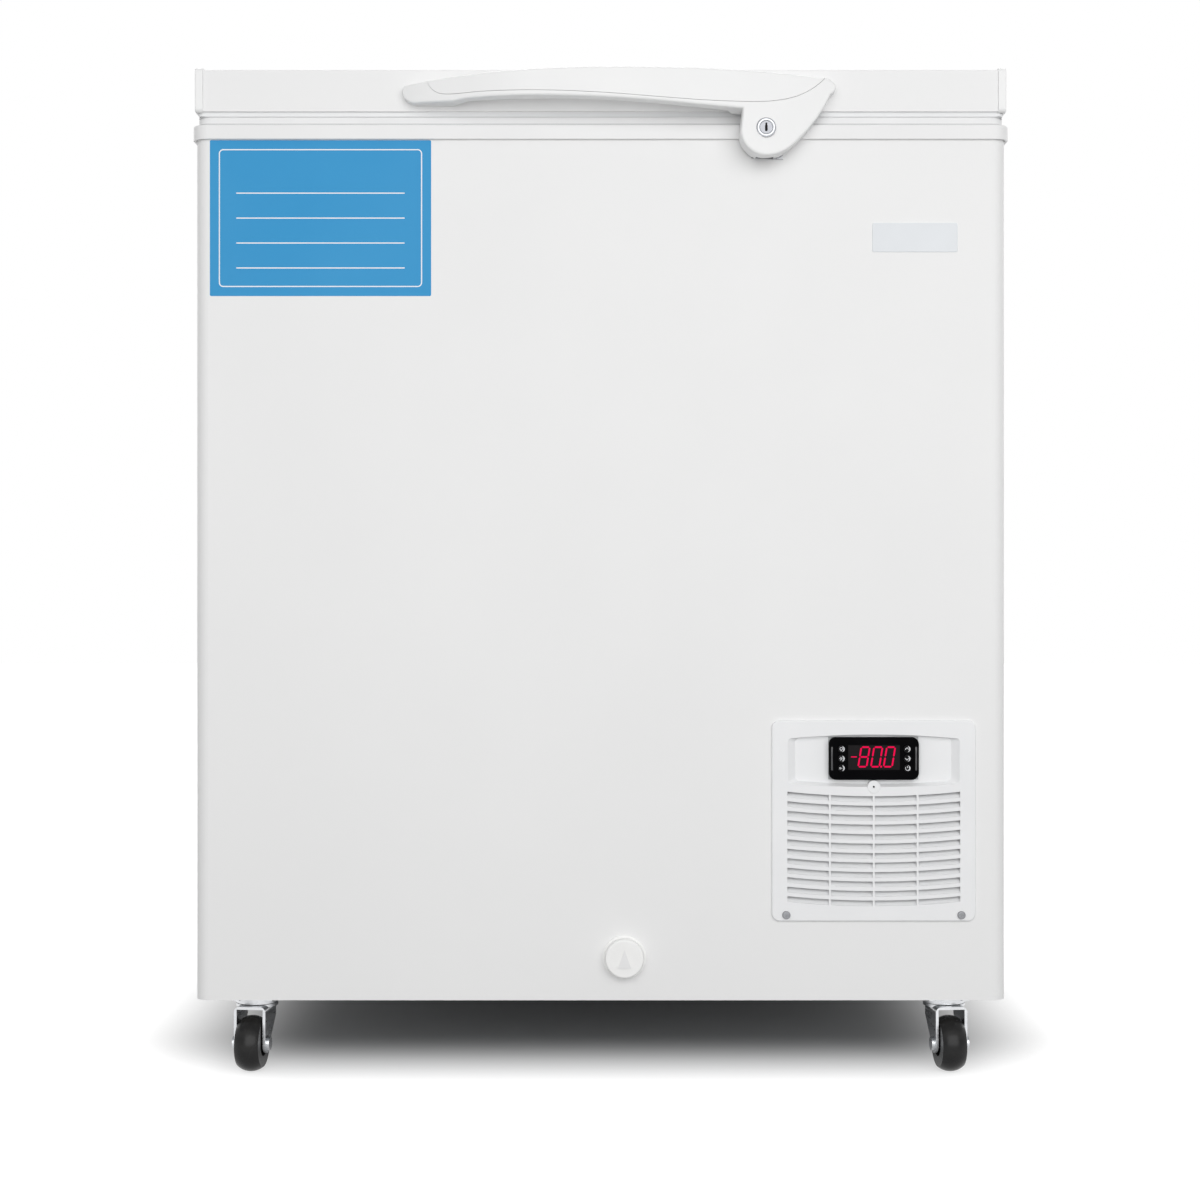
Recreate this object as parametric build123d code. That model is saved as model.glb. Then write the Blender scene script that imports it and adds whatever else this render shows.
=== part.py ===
"""Chest ultra low temperature freezer: insulated cabinet on four swivel casters, sprung lid, key-locked bow
handle, front louvre panel with a temperature controller, drain dial and a refrigeration unit behind the panel.

Row frame: +X to the right of someone facing the front, +Y towards the back, +Z up. The origin is on the floor,
under the middle of the overall box. Lengths are in millimetres and angles in degrees.
Pieces on the front are drawn on the front plane as (across, up, proud of the front face).
"""

from build123d import *
from math import atan2, cos, degrees, radians, sin, sqrt
import os

# Driving dimensions of the cabinet
cabinet_width = 722.0
cabinet_depth = 690.0
cabinet_height = 778.8
floor_clearance = 70.0
handle_reach = 38.0
rear_reach = 16.0
sheet = 1.0
fit_gap = 0.3
shaft_gap = 0.1
seat_gap = 0.2
overrun = 5.0
full_turn = 360.0

# Outer wrap, back panel and bottom pan
wrap_corner_radius = 12.0
wrap_flange = 14.0
back_panel_inset = 4.0
back_bead_height = 2.5
back_bead_width = 22.0
back_bead_margin = 70.0
pan_flange = 22.0
pan_slot_width = 8.0
pan_slot_length = 110.0
pan_slot_pitch = 20.0
pan_slot_count = 7
vent_slot_width = 46.0
vent_slot_height = 6.0
vent_slot_pitch = 14.0
vent_rows = 9
vent_columns = 2
vent_column_pitch = 62.0

# Top collar
collar_height = 12.7
collar_overhang = 3.0
collar_thickness = 2.5
collar_corner_radius = 14.0
liner_flange = 12.0
collar_edge_round = 1.2

# Insulation, liner and machine compartment
insulation = 98.0
liner_thickness = 1.0
liner_corner_radius = 26.0
machine_width = 234.0
machine_height = 262.0
machine_insulation = 88.0
bulkhead_flange = 20.0

# Evaporator tube round the liner
evaporator_height = 9.0
evaporator_thickness = 6.0
evaporator_turns = 5
evaporator_below_rim = 60.0
evaporator_pitch = 62.0
evaporator_drop_shares = (0.3, 0.6)

# Lid
gasket_height = 8.3
gasket_inset = 1.6
gasket_width = 16.0
gasket_root_height = 2.4
gasket_root_inset = 2.5
gasket_round = 1.5
lid_flange_height = 3.9
lid_flange_inset = 2.5
lid_skirt_height = 37.3
lid_return = 10.0
lid_joggle = 0.5
lid_edge_radius = 4.0
lid_plug_depth = 28.0
lid_plug_inset = 14.0
lid_plug_draft = 12.0
lid_plug_wall = 2.0
end_cap_width = 7.0
end_cap_rise = 1.6
end_cap_proud = 1.2
end_cap_wall = 2.4
end_cap_round = 1.0

# Hinges on the back
hinge_rise = 10.5
hinge_span = 430.0
hinge_plate = 2.5
hinge_width = 72.0
hinge_leaf_drop = 56.0
hinge_leaf_rise = 26.0
knuckle_radius = 6.5
knuckle_length = 11.0
hinge_pin_radius = 3.0
hinge_pin_head = 2.0
hinge_rivet_radius = 3.0
hinge_rivet_head = 1.6
hinge_rivet_spread = 40.0

# Handle and lock. Outline points are shares of length and height, reach points shares of length and reach
handle_length = 384.0
handle_height = 75.6
handle_left = -176.0
handle_below_top = 83.1
handle_top_shares = [(0.005, 0.858), (0.119, 0.925), (0.252, 0.966), (0.4, 0.993), (0.54, 1.0), (0.7, 0.991),
                     (0.846, 0.966), (0.962, 0.93)]
handle_nose_shares = [(0.962, 0.93), (0.99, 0.906), (0.999, 0.855), (0.988, 0.745)]
handle_lobe_right_shares = [(0.988, 0.745), (0.955, 0.458), (0.921, 0.248), (0.885, 0.08), (0.836, 0.0)]
handle_lobe_left_shares = [(0.836, 0.0), (0.805, 0.042), (0.784, 0.156), (0.779, 0.321)]
handle_under_shares = [(0.783, 0.535), (0.643, 0.585), (0.513, 0.634), (0.382, 0.662), (0.271, 0.672), (0.15, 0.663)]
handle_foot_shares = [(0.15, 0.663), (0.119, 0.638), (0.035, 0.644)]
handle_tip_shares = [(0.035, 0.644), (0.008, 0.7), (0.0, 0.78), (0.005, 0.858)]
cover_under_shares = [(0.06, 0.9), (0.066, 0.828), (0.08, 0.762), (0.103, 0.73), (0.15, 0.732), (0.271, 0.736),
                      (0.382, 0.722), (0.5, 0.69), (0.6, 0.652), (0.7, 0.623), (0.79, 0.617), (0.861, 0.642),
                      (0.915, 0.718), (0.95, 0.82), (0.975, 0.935)]
handle_reach_shares = [(-0.03, 0.0), (0.0, 0.2), (0.1, 0.55), (0.27, 0.93), (0.46, 1.0), (0.64, 0.95),
                       (0.84, 0.72), (1.02, 0.3)]
finger_gap_shares = [(0.11, 0.0), (0.15, 0.33), (0.46, 0.68), (0.75, 0.48), (0.765, 0.0)]
handle_edge_round = 2.0
handle_screw_shares = [(0.1, 0.828), (0.81, 0.76), (0.912, 0.848)]
handle_screw_seat = 7.0
handle_counterbore_gap = 0.4
lobe_back_gap = 5.0
lobe_front_wall = 6.5
lobe_pocket_radius = 19.2
lobe_slot_width = 16.0
lobe_slot_depth = 8.5
cover_thickness = 2.4
cover_groove = 0.4
lock_share = 0.8365
lock_below_rim = 7.8
lock_ring_radius = 8.6
lock_ring_height = 3.6
lock_seat = 26.0
lock_sleeve_length = 10.0
lock_sleeve_radius = 7.4
lock_plug_radius = 5.4
keyway_width = 1.7
keyway_height = 6.6
keyway_depth = 8.0
cam_thickness = 2.2
cam_setback = 11.0
cam_square = 6.0
cam_arm_width = 5.0
cam_reach = 16.5
cam_toe = 2.4
cam_toe_depth = 5.0
strike_width = 28.0
strike_height = 17.0
strike_thickness = 1.5
strike_drop = 26.4
strike_tilt = 3.0
strike_shift = 3.0
strike_hook_width = 11.0
strike_hook_reach = 9.0
strike_hook_below_lock = 11.5
strike_below_lock = 23.2
screw_radius = 2.0
screw_head_radius = 3.6
screw_head_height = 1.8
screw_length = 12.0
screw_cross_width = 0.9
screw_cross_length = 4.2
screw_head_round = 0.9
strike_screw_pitch = 17.0

# Louvre panel with the controller pocket
panel_shift = 0.2
panel_middle_above_base = 160.0
panel_width = 181.4
panel_height = 178.7
panel_thickness = 3.0
panel_corner_radius = 7.0
panel_edge_round = 1.4
panel_wall = 2.0
panel_opening_margin = 9.0
pocket_width = 153.0
pocket_end_height = 40.4
pocket_arch = 3.4
pocket_sag = 2.7
pocket_corner = 4.0
pocket_end_slope = 7.0
pocket_foot_slope = 2.4
pocket_top_slope = 0.5
pocket_rise = 53.0
pocket_floor = 5.0
louvre_width = 153.6
louvre_rows = 12
louvre_pitch = 8.43
louvre_columns = 4
louvre_sag = 4.0
louvre_top = 25.9
louvre_recess = 0.3
louvre_lip = 3.4
louvre_blade = 1.6
louvre_depth = 6.5
louvre_rise = 6.6
louvre_end_grip = 1.0
rib_width = 1.8
rib_spread = 1.015
boss_radius = 5.8
boss_hole_radius = 1.0
boss_rise = 30.2
boss_proud = 2.4
boss_stand = 0.6
boss_round = 0.5
panel_screw_spread = 155.6
panel_screw_drop = 83.7

# Controller
controller_width = 80.0
controller_height = 38.0
controller_rise = 55.4
bezel_depth = 5.5
seal_thickness = 1.0
bezel_corner = 6.5
bezel_wall = 2.5
bezel_round = 1.0
flange_thickness = 1.0
case_width = 70.4
case_height = 28.4
case_depth = 58.0
cutout_gap = 0.3
clip_width = 4.0
clip_length = 18.0
terminal_count = 8
terminal_slot = 5.0
window_width = 46.0
window_height = 22.0
window_rise = 2.0
window_thickness = 2.2
window_sink = 0.4
key_radius = 3.2
key_flange_radius = 3.9
key_flange_thickness = 1.0
key_spread = 58.4
key_offset = 0.6
key_pitch = 8.5
key_proud = 0.3

# Drain
drain_from_step = 16.8
drain_above_base = 38.5
drain_dial_radius = 17.2
drain_dial_depth = 10.0
drain_dial_round = 1.8
drain_dial_wall = 2.2
drain_pointer = 15.0
drain_pointer_relief = 0.6
drain_pipe_radius = 11.0
drain_pipe_wall = 3.0
drain_flange_radius = 19.4
drain_flange_thickness = 1.2
drain_setback = 150.0
drain_stem_length = 62.0
drain_stem_wall = 2.0
drain_neck_radius = 5.6

# Refrigeration unit
condenser_width = 176.0
condenser_height = 176.0
condenser_depth = 26.0
condenser_setback = 82.0
condenser_fins = 12
condenser_fin = 1.2
condenser_tube_radius = 4.0
condenser_passes = 4
condenser_stub = 3.0
fan_radius = 68.0
fan_hub_radius = 20.0
fan_hub_depth = 22.0
fan_blades = 5
fan_blade_thickness = 2.0
fan_blade_chord = 44.0
fan_blade_pitch = 32.0
fan_tip_gap = 4.0
shroud_wall = 2.0
shroud_depth = 30.0
motor_radius = 28.0
motor_depth = 42.0
motor_shaft_radius = 4.0
motor_strut = 8.0
compressor_radius = 76.0
compressor_height = 168.0
compressor_seam = 4.0
compressor_setback = 178.0
compressor_foot_plate = 3.0
compressor_foot_span = 150.0
compressor_foot_depth = 118.0
grommet_radius = 12.0
grommet_height = 16.0
grommet_stud_radius = 3.5
terminal_width = 52.0
terminal_height = 46.0
terminal_depth = 24.0
terminal_share = 0.28
drier_radius = 11.0
drier_length = 96.0
drier_standoff = 14.0
drier_drop = 70.0
drier_neck = 9.0
pipe_radius = 4.0
pipe_bend_radius = 9.0
pipe_side_step = 14.0
pipe_drop = 34.0
gland_radius = 9.0
gland_bore_radius = 4.5
gland_nut_radius = 12.0
gland_nut_depth = 5.0
gland_tail = 9.0
gland_from_side = 61.0
gland_above_base = 40.0

# Casters
wheel_radius = 25.0
wheel_width = 22.0
wheel_trail = 18.0
wheel_hub_radius = 14.0
wheel_hub_width = 23.0
wheel_web = 9.0
axle_radius = 4.0
axle_head_radius = 6.0
axle_head = 2.6
fork_sheet = 2.5
fork_width = 29.0
fork_bend_radius = 5.0
fork_leg_radius = 8.5
fork_race_radius = 21.0
fork_front_reach = 25.0
fork_crown = 13.0
fork_back_share = 0.55
tread_crown = 4.0
caster_plate_length = 58.0
caster_plate_width = 46.0
caster_plate_thickness = 2.5
caster_plate_round = 6.0
caster_inset = 47.5
caster_setback = 50.0
caster_toe = 6.0
race_height = 8.0
race_radius = 19.0
race_gap = 0.5
kingpin_radius = 4.0
kingpin_head_radius = 7.0
kingpin_head = 3.0
caster_bolt_radius = 3.0
caster_bolt_head_radius = 5.0
caster_bolt_head = 3.0
caster_bolt_spread_x = 30.0
caster_bolt_spread_y = 44.0

# Places that follow from the sizes above
overall_depth = cabinet_depth + handle_reach + rear_reach
front_y = handle_reach - overall_depth / 2
back_y = front_y + cabinet_depth
half_width = cabinet_width / 2
base_z = floor_clearance
rim_z = base_z + cabinet_height
gasket_top_z = rim_z + gasket_height
skirt_bottom_z = gasket_top_z + lid_flange_height
lid_top_z = skirt_bottom_z + lid_skirt_height
pan_top_z = base_z + sheet
liner_half = half_width - sheet - insulation
liner_front_y = front_y + sheet + insulation
liner_back_y = back_y - 2 * sheet - insulation
liner_floor_z = pan_top_z + insulation
machine_left_x = half_width - sheet - machine_width
machine_top_z = pan_top_z + machine_height
step_x = machine_left_x - machine_insulation
step_z = machine_top_z + machine_insulation
hinge_y = back_y + rear_reach - knuckle_radius
hinge_z = rim_z + hinge_rise
panel_z = base_z + panel_middle_above_base
machine_middle_x = half_width - sheet - machine_width / 2
panel_across = machine_middle_x - panel_shift
drain_across = step_x - drain_from_step
gland_across = half_width - gland_from_side
lock_across = handle_left + lock_share * handle_length
lock_z = rim_z - lock_below_rim
handle_bottom_z = lid_top_z - handle_below_top + end_cap_rise
pocket_proud = panel_thickness - pocket_floor
seal_proud = pocket_proud + seal_thickness
bezel_proud = seal_proud + bezel_depth
front = Plane(origin=(0, front_y, 0), x_dir=(1, 0, 0), z_dir=(0, -1, 0))

written_nodes = []


def write(name, shape):
    """Writes one node, each of its pieces as a separate solid."""
    solids = shape.solids()
    shape = solids[0] if len(solids) == 1 else Compound(children=list(solids))
    shape.label = name
    export_step(shape, f"parts/{name}.step")
    written_nodes.append(name)


def block(x_low, x_high, y_low, y_high, z_low, z_high):
    """A box between two corners."""
    centre = Pos((x_low + x_high) / 2, (y_low + y_high) / 2, (z_low + z_high) / 2)
    return centre * Box(x_high - x_low, y_high - y_low, z_high - z_low)


def post(x, y, z_low, z_high, radius):
    """An upright cylinder."""
    return Pos(x, y, (z_low + z_high) / 2) * Cylinder(radius, z_high - z_low)


def rod_x(x_low, x_high, y, z, radius):
    """A cylinder along X."""
    return Pos((x_low + x_high) / 2, y, z) * Rot(0, 90, 0) * Cylinder(radius, x_high - x_low)


def rod_y(x, y_low, y_high, z, radius):
    """A cylinder along Y."""
    return Pos(x, (y_low + y_high) / 2, z) * Rot(90, 0, 0) * Cylinder(radius, y_high - y_low)


def slab(x_low, x_high, y_low, y_high, z_low, z_high, front_radius, back_radius=0):
    """An upright prism whose front and back corners are rounded."""
    outline = Pos((x_low + x_high) / 2, (y_low + y_high) / 2) * Rectangle(x_high - x_low, y_high - y_low)
    corners = outline.vertices().sort_by(Axis.Y)
    if front_radius:
        outline = fillet(corners[:2], front_radius)
    if back_radius:
        outline = fillet(outline.vertices().group_by(Axis.Y)[-1], back_radius)
    return Pos(0, 0, z_low) * extrude(outline, z_high - z_low)


def fused(pieces):
    """One solid from overlapping pieces."""
    whole = pieces[0]
    for piece in pieces[1:]:
        whole = whole + piece
    return whole


def apart(pieces):
    """Separate solids kept side by side in one node."""
    return Compound(children=[solid for piece in pieces for solid in piece.solids()])


def signs():
    """Left and right."""
    return (-1, 1)


# Cabinet shell

def outer_wrap():
    """Front and two sides folded from one sheet, with return flanges at the back."""
    top = rim_z - collar_thickness
    shell = slab(-half_width, half_width, front_y, back_y - sheet, base_z, top, wrap_corner_radius)
    shell -= slab(-half_width + sheet, half_width - sheet, front_y + sheet, back_y - 2 * sheet,
                  base_z - overrun, top + overrun, wrap_corner_radius - sheet)
    flange_x = half_width - wrap_flange
    shell -= block(-flange_x, flange_x, back_y - 2 * sheet - overrun, back_y, base_z - overrun, top + overrun)
    opening_x = panel_width / 2 - panel_opening_margin
    opening_z = panel_height / 2 - panel_opening_margin
    shell -= block(panel_across - opening_x, panel_across + opening_x, front_y - overrun, front_y + overrun,
                   panel_z - opening_z, panel_z + opening_z)
    shell -= rod_y(drain_across, front_y - overrun, front_y + overrun, base_z + drain_above_base,
                   drain_pipe_radius + seat_gap)
    for x, z in panel_screw_places() + strike_screw_places():
        shell -= rod_y(x, front_y - overrun, front_y + overrun, z, screw_radius)
    return shell


def panel_screw_places():
    """Across and up for the two panel screws."""
    return [(panel_across + side * panel_screw_spread / 2, panel_z - panel_screw_drop) for side in signs()]


def strike_screw_places():
    """Across and up for the two strike screws."""
    z = rim_z - strike_drop
    return [(lock_across + strike_shift + side * strike_screw_pitch / 2, z) for side in signs()]


def back_panel():
    """Flat sheet with pressed beads, air slots behind the compressor and the cable hole."""
    edge_x = half_width - back_panel_inset
    top = rim_z - collar_thickness
    panel = block(-edge_x, edge_x, back_y - sheet, back_y, base_z, top)
    bead_top = top - hinge_leaf_drop - back_bead_margin
    for side in signs():
        x = side * hinge_span / 2 - back_bead_width / 2
        low = step_z if side > 0 else base_z + back_bead_margin
        bead = block(x, x + back_bead_width, back_y - sheet / 2, back_y + back_bead_height, low, bead_top)
        panel += chamfer(bead.faces().sort_by(Axis.Y)[-1].edges(), back_bead_height / 2)
    for row in range(vent_rows):
        for column in range(vent_columns):
            x = machine_middle_x + (column - (vent_columns - 1) / 2) * vent_column_pitch
            z = panel_z + (row - (vent_rows - 1) / 2) * vent_slot_pitch
            panel -= block(x - vent_slot_width / 2, x + vent_slot_width / 2, back_y - 2 * sheet,
                           back_y + sheet, z - vent_slot_height / 2, z + vent_slot_height / 2)
    panel -= rod_y(gland_across, back_y - 2 * sheet, back_y + sheet, base_z + gland_above_base, gland_radius)
    return panel


def caster_places():
    """Across and back for the four caster swivels."""
    x = half_width - caster_inset
    return {"fl": (-x, front_y + caster_setback), "fr": (x, front_y + caster_setback),
            "rl": (-x, back_y - caster_setback), "rr": (x, back_y - caster_setback)}


def caster_bolt_places():
    """Across and back for the four bolts of each caster."""
    return [(x + side * caster_bolt_spread_x / 2, y + end * caster_bolt_spread_y / 2)
            for x, y in caster_places().values() for side in signs() for end in signs()]


def bottom_pan():
    """Tray that closes the cabinet below and carries the casters."""
    x = half_width - sheet
    pan = slab(-x, x, front_y + sheet, back_y - 2 * sheet, base_z, base_z + pan_flange,
               wrap_corner_radius - sheet)
    pan -= slab(-x + sheet, x - sheet, front_y + 2 * sheet, back_y - 3 * sheet, pan_top_z,
                base_z + pan_flange + overrun, wrap_corner_radius - 2 * sheet)
    for index in range(pan_slot_count):
        y = (index - (pan_slot_count - 1) / 2) * pan_slot_pitch
        pan -= block(machine_middle_x - pan_slot_length / 2, machine_middle_x + pan_slot_length / 2,
                     y - pan_slot_width / 2, y + pan_slot_width / 2, base_z - overrun, pan_top_z + sheet)
    for x, y in caster_bolt_places():
        pan -= post(x, y, base_z - overrun, pan_top_z + overrun, caster_bolt_radius)
    for x, y in grommet_places():
        pan -= post(x, y, base_z - overrun, pan_top_z + overrun, grommet_stud_radius)
    return pan


def top_collar():
    """Rim frame: a plate over the insulation with a skirt over the top of the wrap."""
    outer = half_width + collar_overhang
    inner = outer - collar_thickness
    collar = slab(-outer, outer, front_y - collar_overhang, back_y, rim_z - collar_height, rim_z,
                  collar_corner_radius)
    top_edges = collar.faces().sort_by(Axis.Z)[-1].edges().filter_by(lambda edge: edge.center().Y < back_y - fit_gap)
    collar = fillet(top_edges, collar_edge_round)
    collar -= slab(-inner, inner, front_y - collar_overhang + collar_thickness, back_y + overrun,
                   rim_z - collar_height - overrun, rim_z - collar_thickness,
                   collar_corner_radius - collar_thickness)
    return collar - liner_solid(liner_thickness, rim_z + overrun)


def liner_solid(shrink, top):
    """The storage space, or the outside of its liner, with the shallow part over the machine compartment."""
    half = liner_half - shrink
    y_low = liner_front_y + shrink
    y_high = liner_back_y - shrink
    radius = liner_corner_radius - shrink
    wide = slab(-half, half, y_low, y_high, step_z + shrink, top, radius, radius)
    deep = slab(-half, step_x - shrink, y_low, y_high, liner_floor_z + shrink, top, radius, radius)
    return wide + deep


def inner_liner():
    """Thin formed tub with a flange under the collar and the drain hole in its floor."""
    top = rim_z - collar_thickness
    tub = liner_solid(0, top)
    tub += slab(-liner_half - liner_flange, liner_half + liner_flange, liner_front_y - liner_flange,
                liner_back_y + liner_flange, top - liner_thickness, top, liner_corner_radius + liner_flange,
                liner_corner_radius + liner_flange)
    tub -= liner_solid(liner_thickness, top + overrun)
    return tub - post(drain_across, drain_y(), liner_floor_z - overrun, liner_floor_z + overrun,
                      drain_pipe_radius - drain_pipe_wall)


def drain_y():
    """How far back the drain drops from the storage floor."""
    return front_y + drain_setback


def machine_space(grow):
    """The machine compartment, grown by its sheet where asked."""
    return block(machine_left_x - grow, half_width + overrun, front_y - overrun, back_y + overrun,
                 base_z - overrun, machine_top_z + grow)


def machine_bulkhead():
    """Angle of sheet that walls the machine compartment off from the insulation."""
    y_low = front_y + 2 * sheet
    y_high = back_y - 3 * sheet
    wall = block(machine_left_x - sheet, half_width - 2 * sheet, y_low, y_high, pan_top_z, machine_top_z + sheet)
    wall -= block(machine_left_x, half_width, y_low - overrun, y_high + overrun, base_z, machine_top_z)
    wall -= block(half_width - wrap_corner_radius, half_width, front_y, front_y + wrap_corner_radius,
                  machine_top_z - overrun, machine_top_z + overrun)
    for x, y in evaporator_drops():
        wall -= block(x - evaporator_thickness, x + evaporator_thickness, y - evaporator_thickness,
                      y + evaporator_thickness, machine_top_z - overrun, machine_top_z + overrun)
    return wall


def evaporator_drops():
    """Across and back for the two tubes that lead down to the machine compartment."""
    x = liner_half + evaporator_thickness / 2
    return [(x, liner_back_y - share * liner_half) for share in evaporator_drop_shares]


def evaporator_tube():
    """Flattened tube wound round the liner, with a riser between turns and two drops."""
    outer = liner_half + evaporator_thickness
    y_low = liner_front_y - evaporator_thickness
    y_high = liner_back_y + evaporator_thickness
    radius = liner_corner_radius + evaporator_thickness
    tube = []
    for turn in range(evaporator_turns):
        z = rim_z - evaporator_below_rim - turn * evaporator_pitch
        ring = slab(-outer, outer, y_low, y_high, z - evaporator_height, z, radius, radius)
        ring -= slab(-liner_half, liner_half, liner_front_y, liner_back_y, z - evaporator_height - overrun,
                     z + overrun, liner_corner_radius, liner_corner_radius)
        tube.append(ring)
    for index, (x, y) in enumerate(evaporator_drops()):
        top = rim_z - evaporator_below_rim - index * (evaporator_turns - 1) * evaporator_pitch
        tube.append(block(liner_half, outer, y - evaporator_height / 2, y + evaporator_height / 2,
                          machine_top_z - sheet, top))
    return fused(tube)


def cabinet_foam():
    """Foamed insulation between the wrap, the liner and the machine compartment."""
    top = rim_z - collar_thickness
    foam = slab(-half_width + sheet, half_width - sheet, front_y + sheet, back_y - 2 * sheet, pan_top_z, top,
                wrap_corner_radius - sheet)
    keep = slab(-half_width + 2 * sheet, half_width - 2 * sheet, front_y + 2 * sheet, back_y - 3 * sheet,
                pan_top_z, base_z + pan_flange, wrap_corner_radius - 2 * sheet)
    low = slab(-half_width, half_width, front_y, back_y, pan_top_z - overrun, base_z + pan_flange, 0)
    foam = (foam - low) + keep
    foam -= machine_space(sheet)
    foam -= liner_solid(0, top + overrun)
    foam -= slab(-liner_half - liner_flange, liner_half + liner_flange, liner_front_y - liner_flange,
                 liner_back_y + liner_flange, top - liner_thickness, top + overrun,
                 liner_corner_radius + liner_flange, liner_corner_radius + liner_flange)
    foam -= evaporator_tube()
    foam -= drain_shape(drain_pipe_radius)
    for x, y in caster_bolt_places():
        foam -= post(x, y, pan_top_z - overrun, pan_top_z + screw_length + overrun, caster_bolt_head_radius)
    for x, z in strike_screw_places():
        foam -= rod_y(x, front_y, front_y + screw_length + overrun, z, screw_radius)
    return foam


def power_gland():
    """Cable gland in the back panel: bush, nut inside and a tapered tail."""
    z = base_z + gland_above_base
    bush = rod_y(gland_across, back_y - sheet - gland_nut_depth, back_y + gland_tail, z, gland_radius)
    nut = Plane(origin=(gland_across, back_y, z), z_dir=(0, 1, 0))
    bush += extrude(nut * RegularPolygon(gland_nut_radius, 6), gland_nut_depth)
    bush += rod_y(gland_across, back_y - sheet - gland_nut_depth, back_y - sheet, z, gland_nut_radius)
    return bush - rod_y(gland_across, back_y - 2 * gland_nut_radius, back_y + 2 * gland_nut_radius, z,
                        gland_bore_radius)


# Drain

def drain_shape(radius):
    """Drop from the storage floor and the run to the front."""
    z = base_z + drain_above_base
    run = rod_y(drain_across, front_y - drain_flange_thickness, drain_y() + radius, z, radius)
    return run + post(drain_across, drain_y(), z - radius, liner_floor_z, radius)


def drain_pipe():
    """Moulded drain elbow with a flange on the front face."""
    z = base_z + drain_above_base
    pipe = drain_shape(drain_pipe_radius)
    pipe += rod_y(drain_across, front_y - drain_flange_thickness, front_y, z, drain_flange_radius)
    return pipe - drain_bore()


def drain_bore():
    """Inside of the drain elbow, open at both ends."""
    radius = drain_pipe_radius - drain_pipe_wall
    z = base_z + drain_above_base
    bore = rod_y(drain_across, front_y - drain_flange_thickness - overrun, drain_y() + radius, z, radius)
    return bore + post(drain_across, drain_y(), z - radius, liner_floor_z + overrun, radius)


def drain_face_y():
    """Outer face of the drain flange."""
    return front_y - drain_flange_thickness


def drain_stem():
    """Sliding plug that closes the drain run, with a neck for the dial."""
    z = base_z + drain_above_base
    radius = drain_pipe_radius - drain_pipe_wall - shaft_gap
    neck_end = drain_face_y() - drain_dial_depth + drain_dial_wall + fit_gap
    stem = rod_y(drain_across, drain_face_y() - seat_gap, front_y + drain_stem_length, z, radius)
    stem -= rod_y(drain_across, front_y + drain_dial_wall, front_y + drain_stem_length + overrun, z,
                  radius - drain_stem_wall)
    return stem + rod_y(drain_across, neck_end, drain_face_y(), z, drain_neck_radius)


def drain_dial():
    """Round knob with a raised pointer and a blind bore for the stem."""
    z = base_z + drain_above_base
    face = drain_face_y() - drain_dial_depth
    knob = rod_y(drain_across, face, drain_face_y() - fit_gap, z, drain_dial_radius)
    knob = fillet(knob.edges().sort_by(Axis.Y)[0], drain_dial_round)
    half = drain_pointer / 2
    marker = Plane(origin=(drain_across, face, z), x_dir=(1, 0, 0), z_dir=(0, -1, 0))
    outline = Polygon((-half, -half), (half, -half), (0, half), align=None)
    knob += extrude(marker * outline, drain_pointer_relief)
    neck = drain_neck_radius + shaft_gap
    return knob - rod_y(drain_across, face + drain_dial_wall, drain_face_y() + overrun, z, neck)


# Lid

def lid_form(shrink):
    """The lid's outside moved in by the shrink, with its ends stepped in under the caps."""
    end_x = half_width - end_cap_wall - shrink
    middle_x = half_width - end_cap_width - fit_gap - shrink
    low = skirt_bottom_z + shrink
    top = lid_top_z - shrink
    radius = lid_edge_radius - shrink
    ends = slab(-end_x, end_x, front_y + lid_joggle + shrink, back_y - lid_joggle - shrink, low, top - lid_joggle,
                radius, radius)
    middle = block(-middle_x, middle_x, front_y + shrink, back_y - shrink, low, top)
    return ends + fillet(middle.faces().sort_by(Axis.Z)[-1].edges().filter_by(Axis.X), radius / 2)


def lid_skin():
    """Top sheet folded down at the front, the back and the ends."""
    skin = lid_form(0) - lid_form(sheet)
    inner = half_width - lid_return - end_cap_wall
    skin -= block(-inner, inner, front_y + lid_return, back_y - lid_return, skirt_bottom_z - overrun,
                  skirt_bottom_z + overrun)
    for x, y, z in handle_screw_places():
        skin -= rod_y(x, front_y - overrun, front_y + screw_length, z, screw_radius)
    return skin


def lid_end_caps():
    """Two moulded caps that wrap the ends of the lid, slightly proud of the skin."""
    caps = []
    for side in signs():
        outer = side * half_width
        inner = side * (half_width - end_cap_width)
        low, high = min(outer, inner), max(outer, inner)
        cap = block(low, high, front_y - end_cap_proud, back_y + end_cap_proud, skirt_bottom_z - end_cap_proud,
                    lid_top_z + end_cap_rise)
        cap = fillet(cap.edges().filter_by(Axis.X), lid_edge_radius)
        cap = fillet(cap.faces().sort_by(Axis.X)[0 if side < 0 else -1].edges(), end_cap_round)
        cap -= lid_form(0)
        flange_x = half_width - lid_flange_inset
        caps.append(cap - block(-flange_x, flange_x, front_y + lid_flange_inset - fit_gap,
                                back_y - lid_flange_inset + fit_gap, skirt_bottom_z - overrun,
                                skirt_bottom_z + sheet / 2))
    return apart(caps)


def lid_foam():
    """Foamed insulation inside the lid skin and its liner."""
    foam = lid_form(sheet)
    inner = half_width - lid_return - end_cap_wall
    foam += block(-inner, inner, front_y + lid_return, back_y - lid_return, skirt_bottom_z, skirt_bottom_z + sheet)
    foam += lid_plug(lid_plug_wall, skirt_bottom_z)
    for x, y, z in handle_screw_places():
        foam -= rod_y(x, front_y - overrun, front_y + screw_length, z, screw_radius)
    return foam


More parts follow.
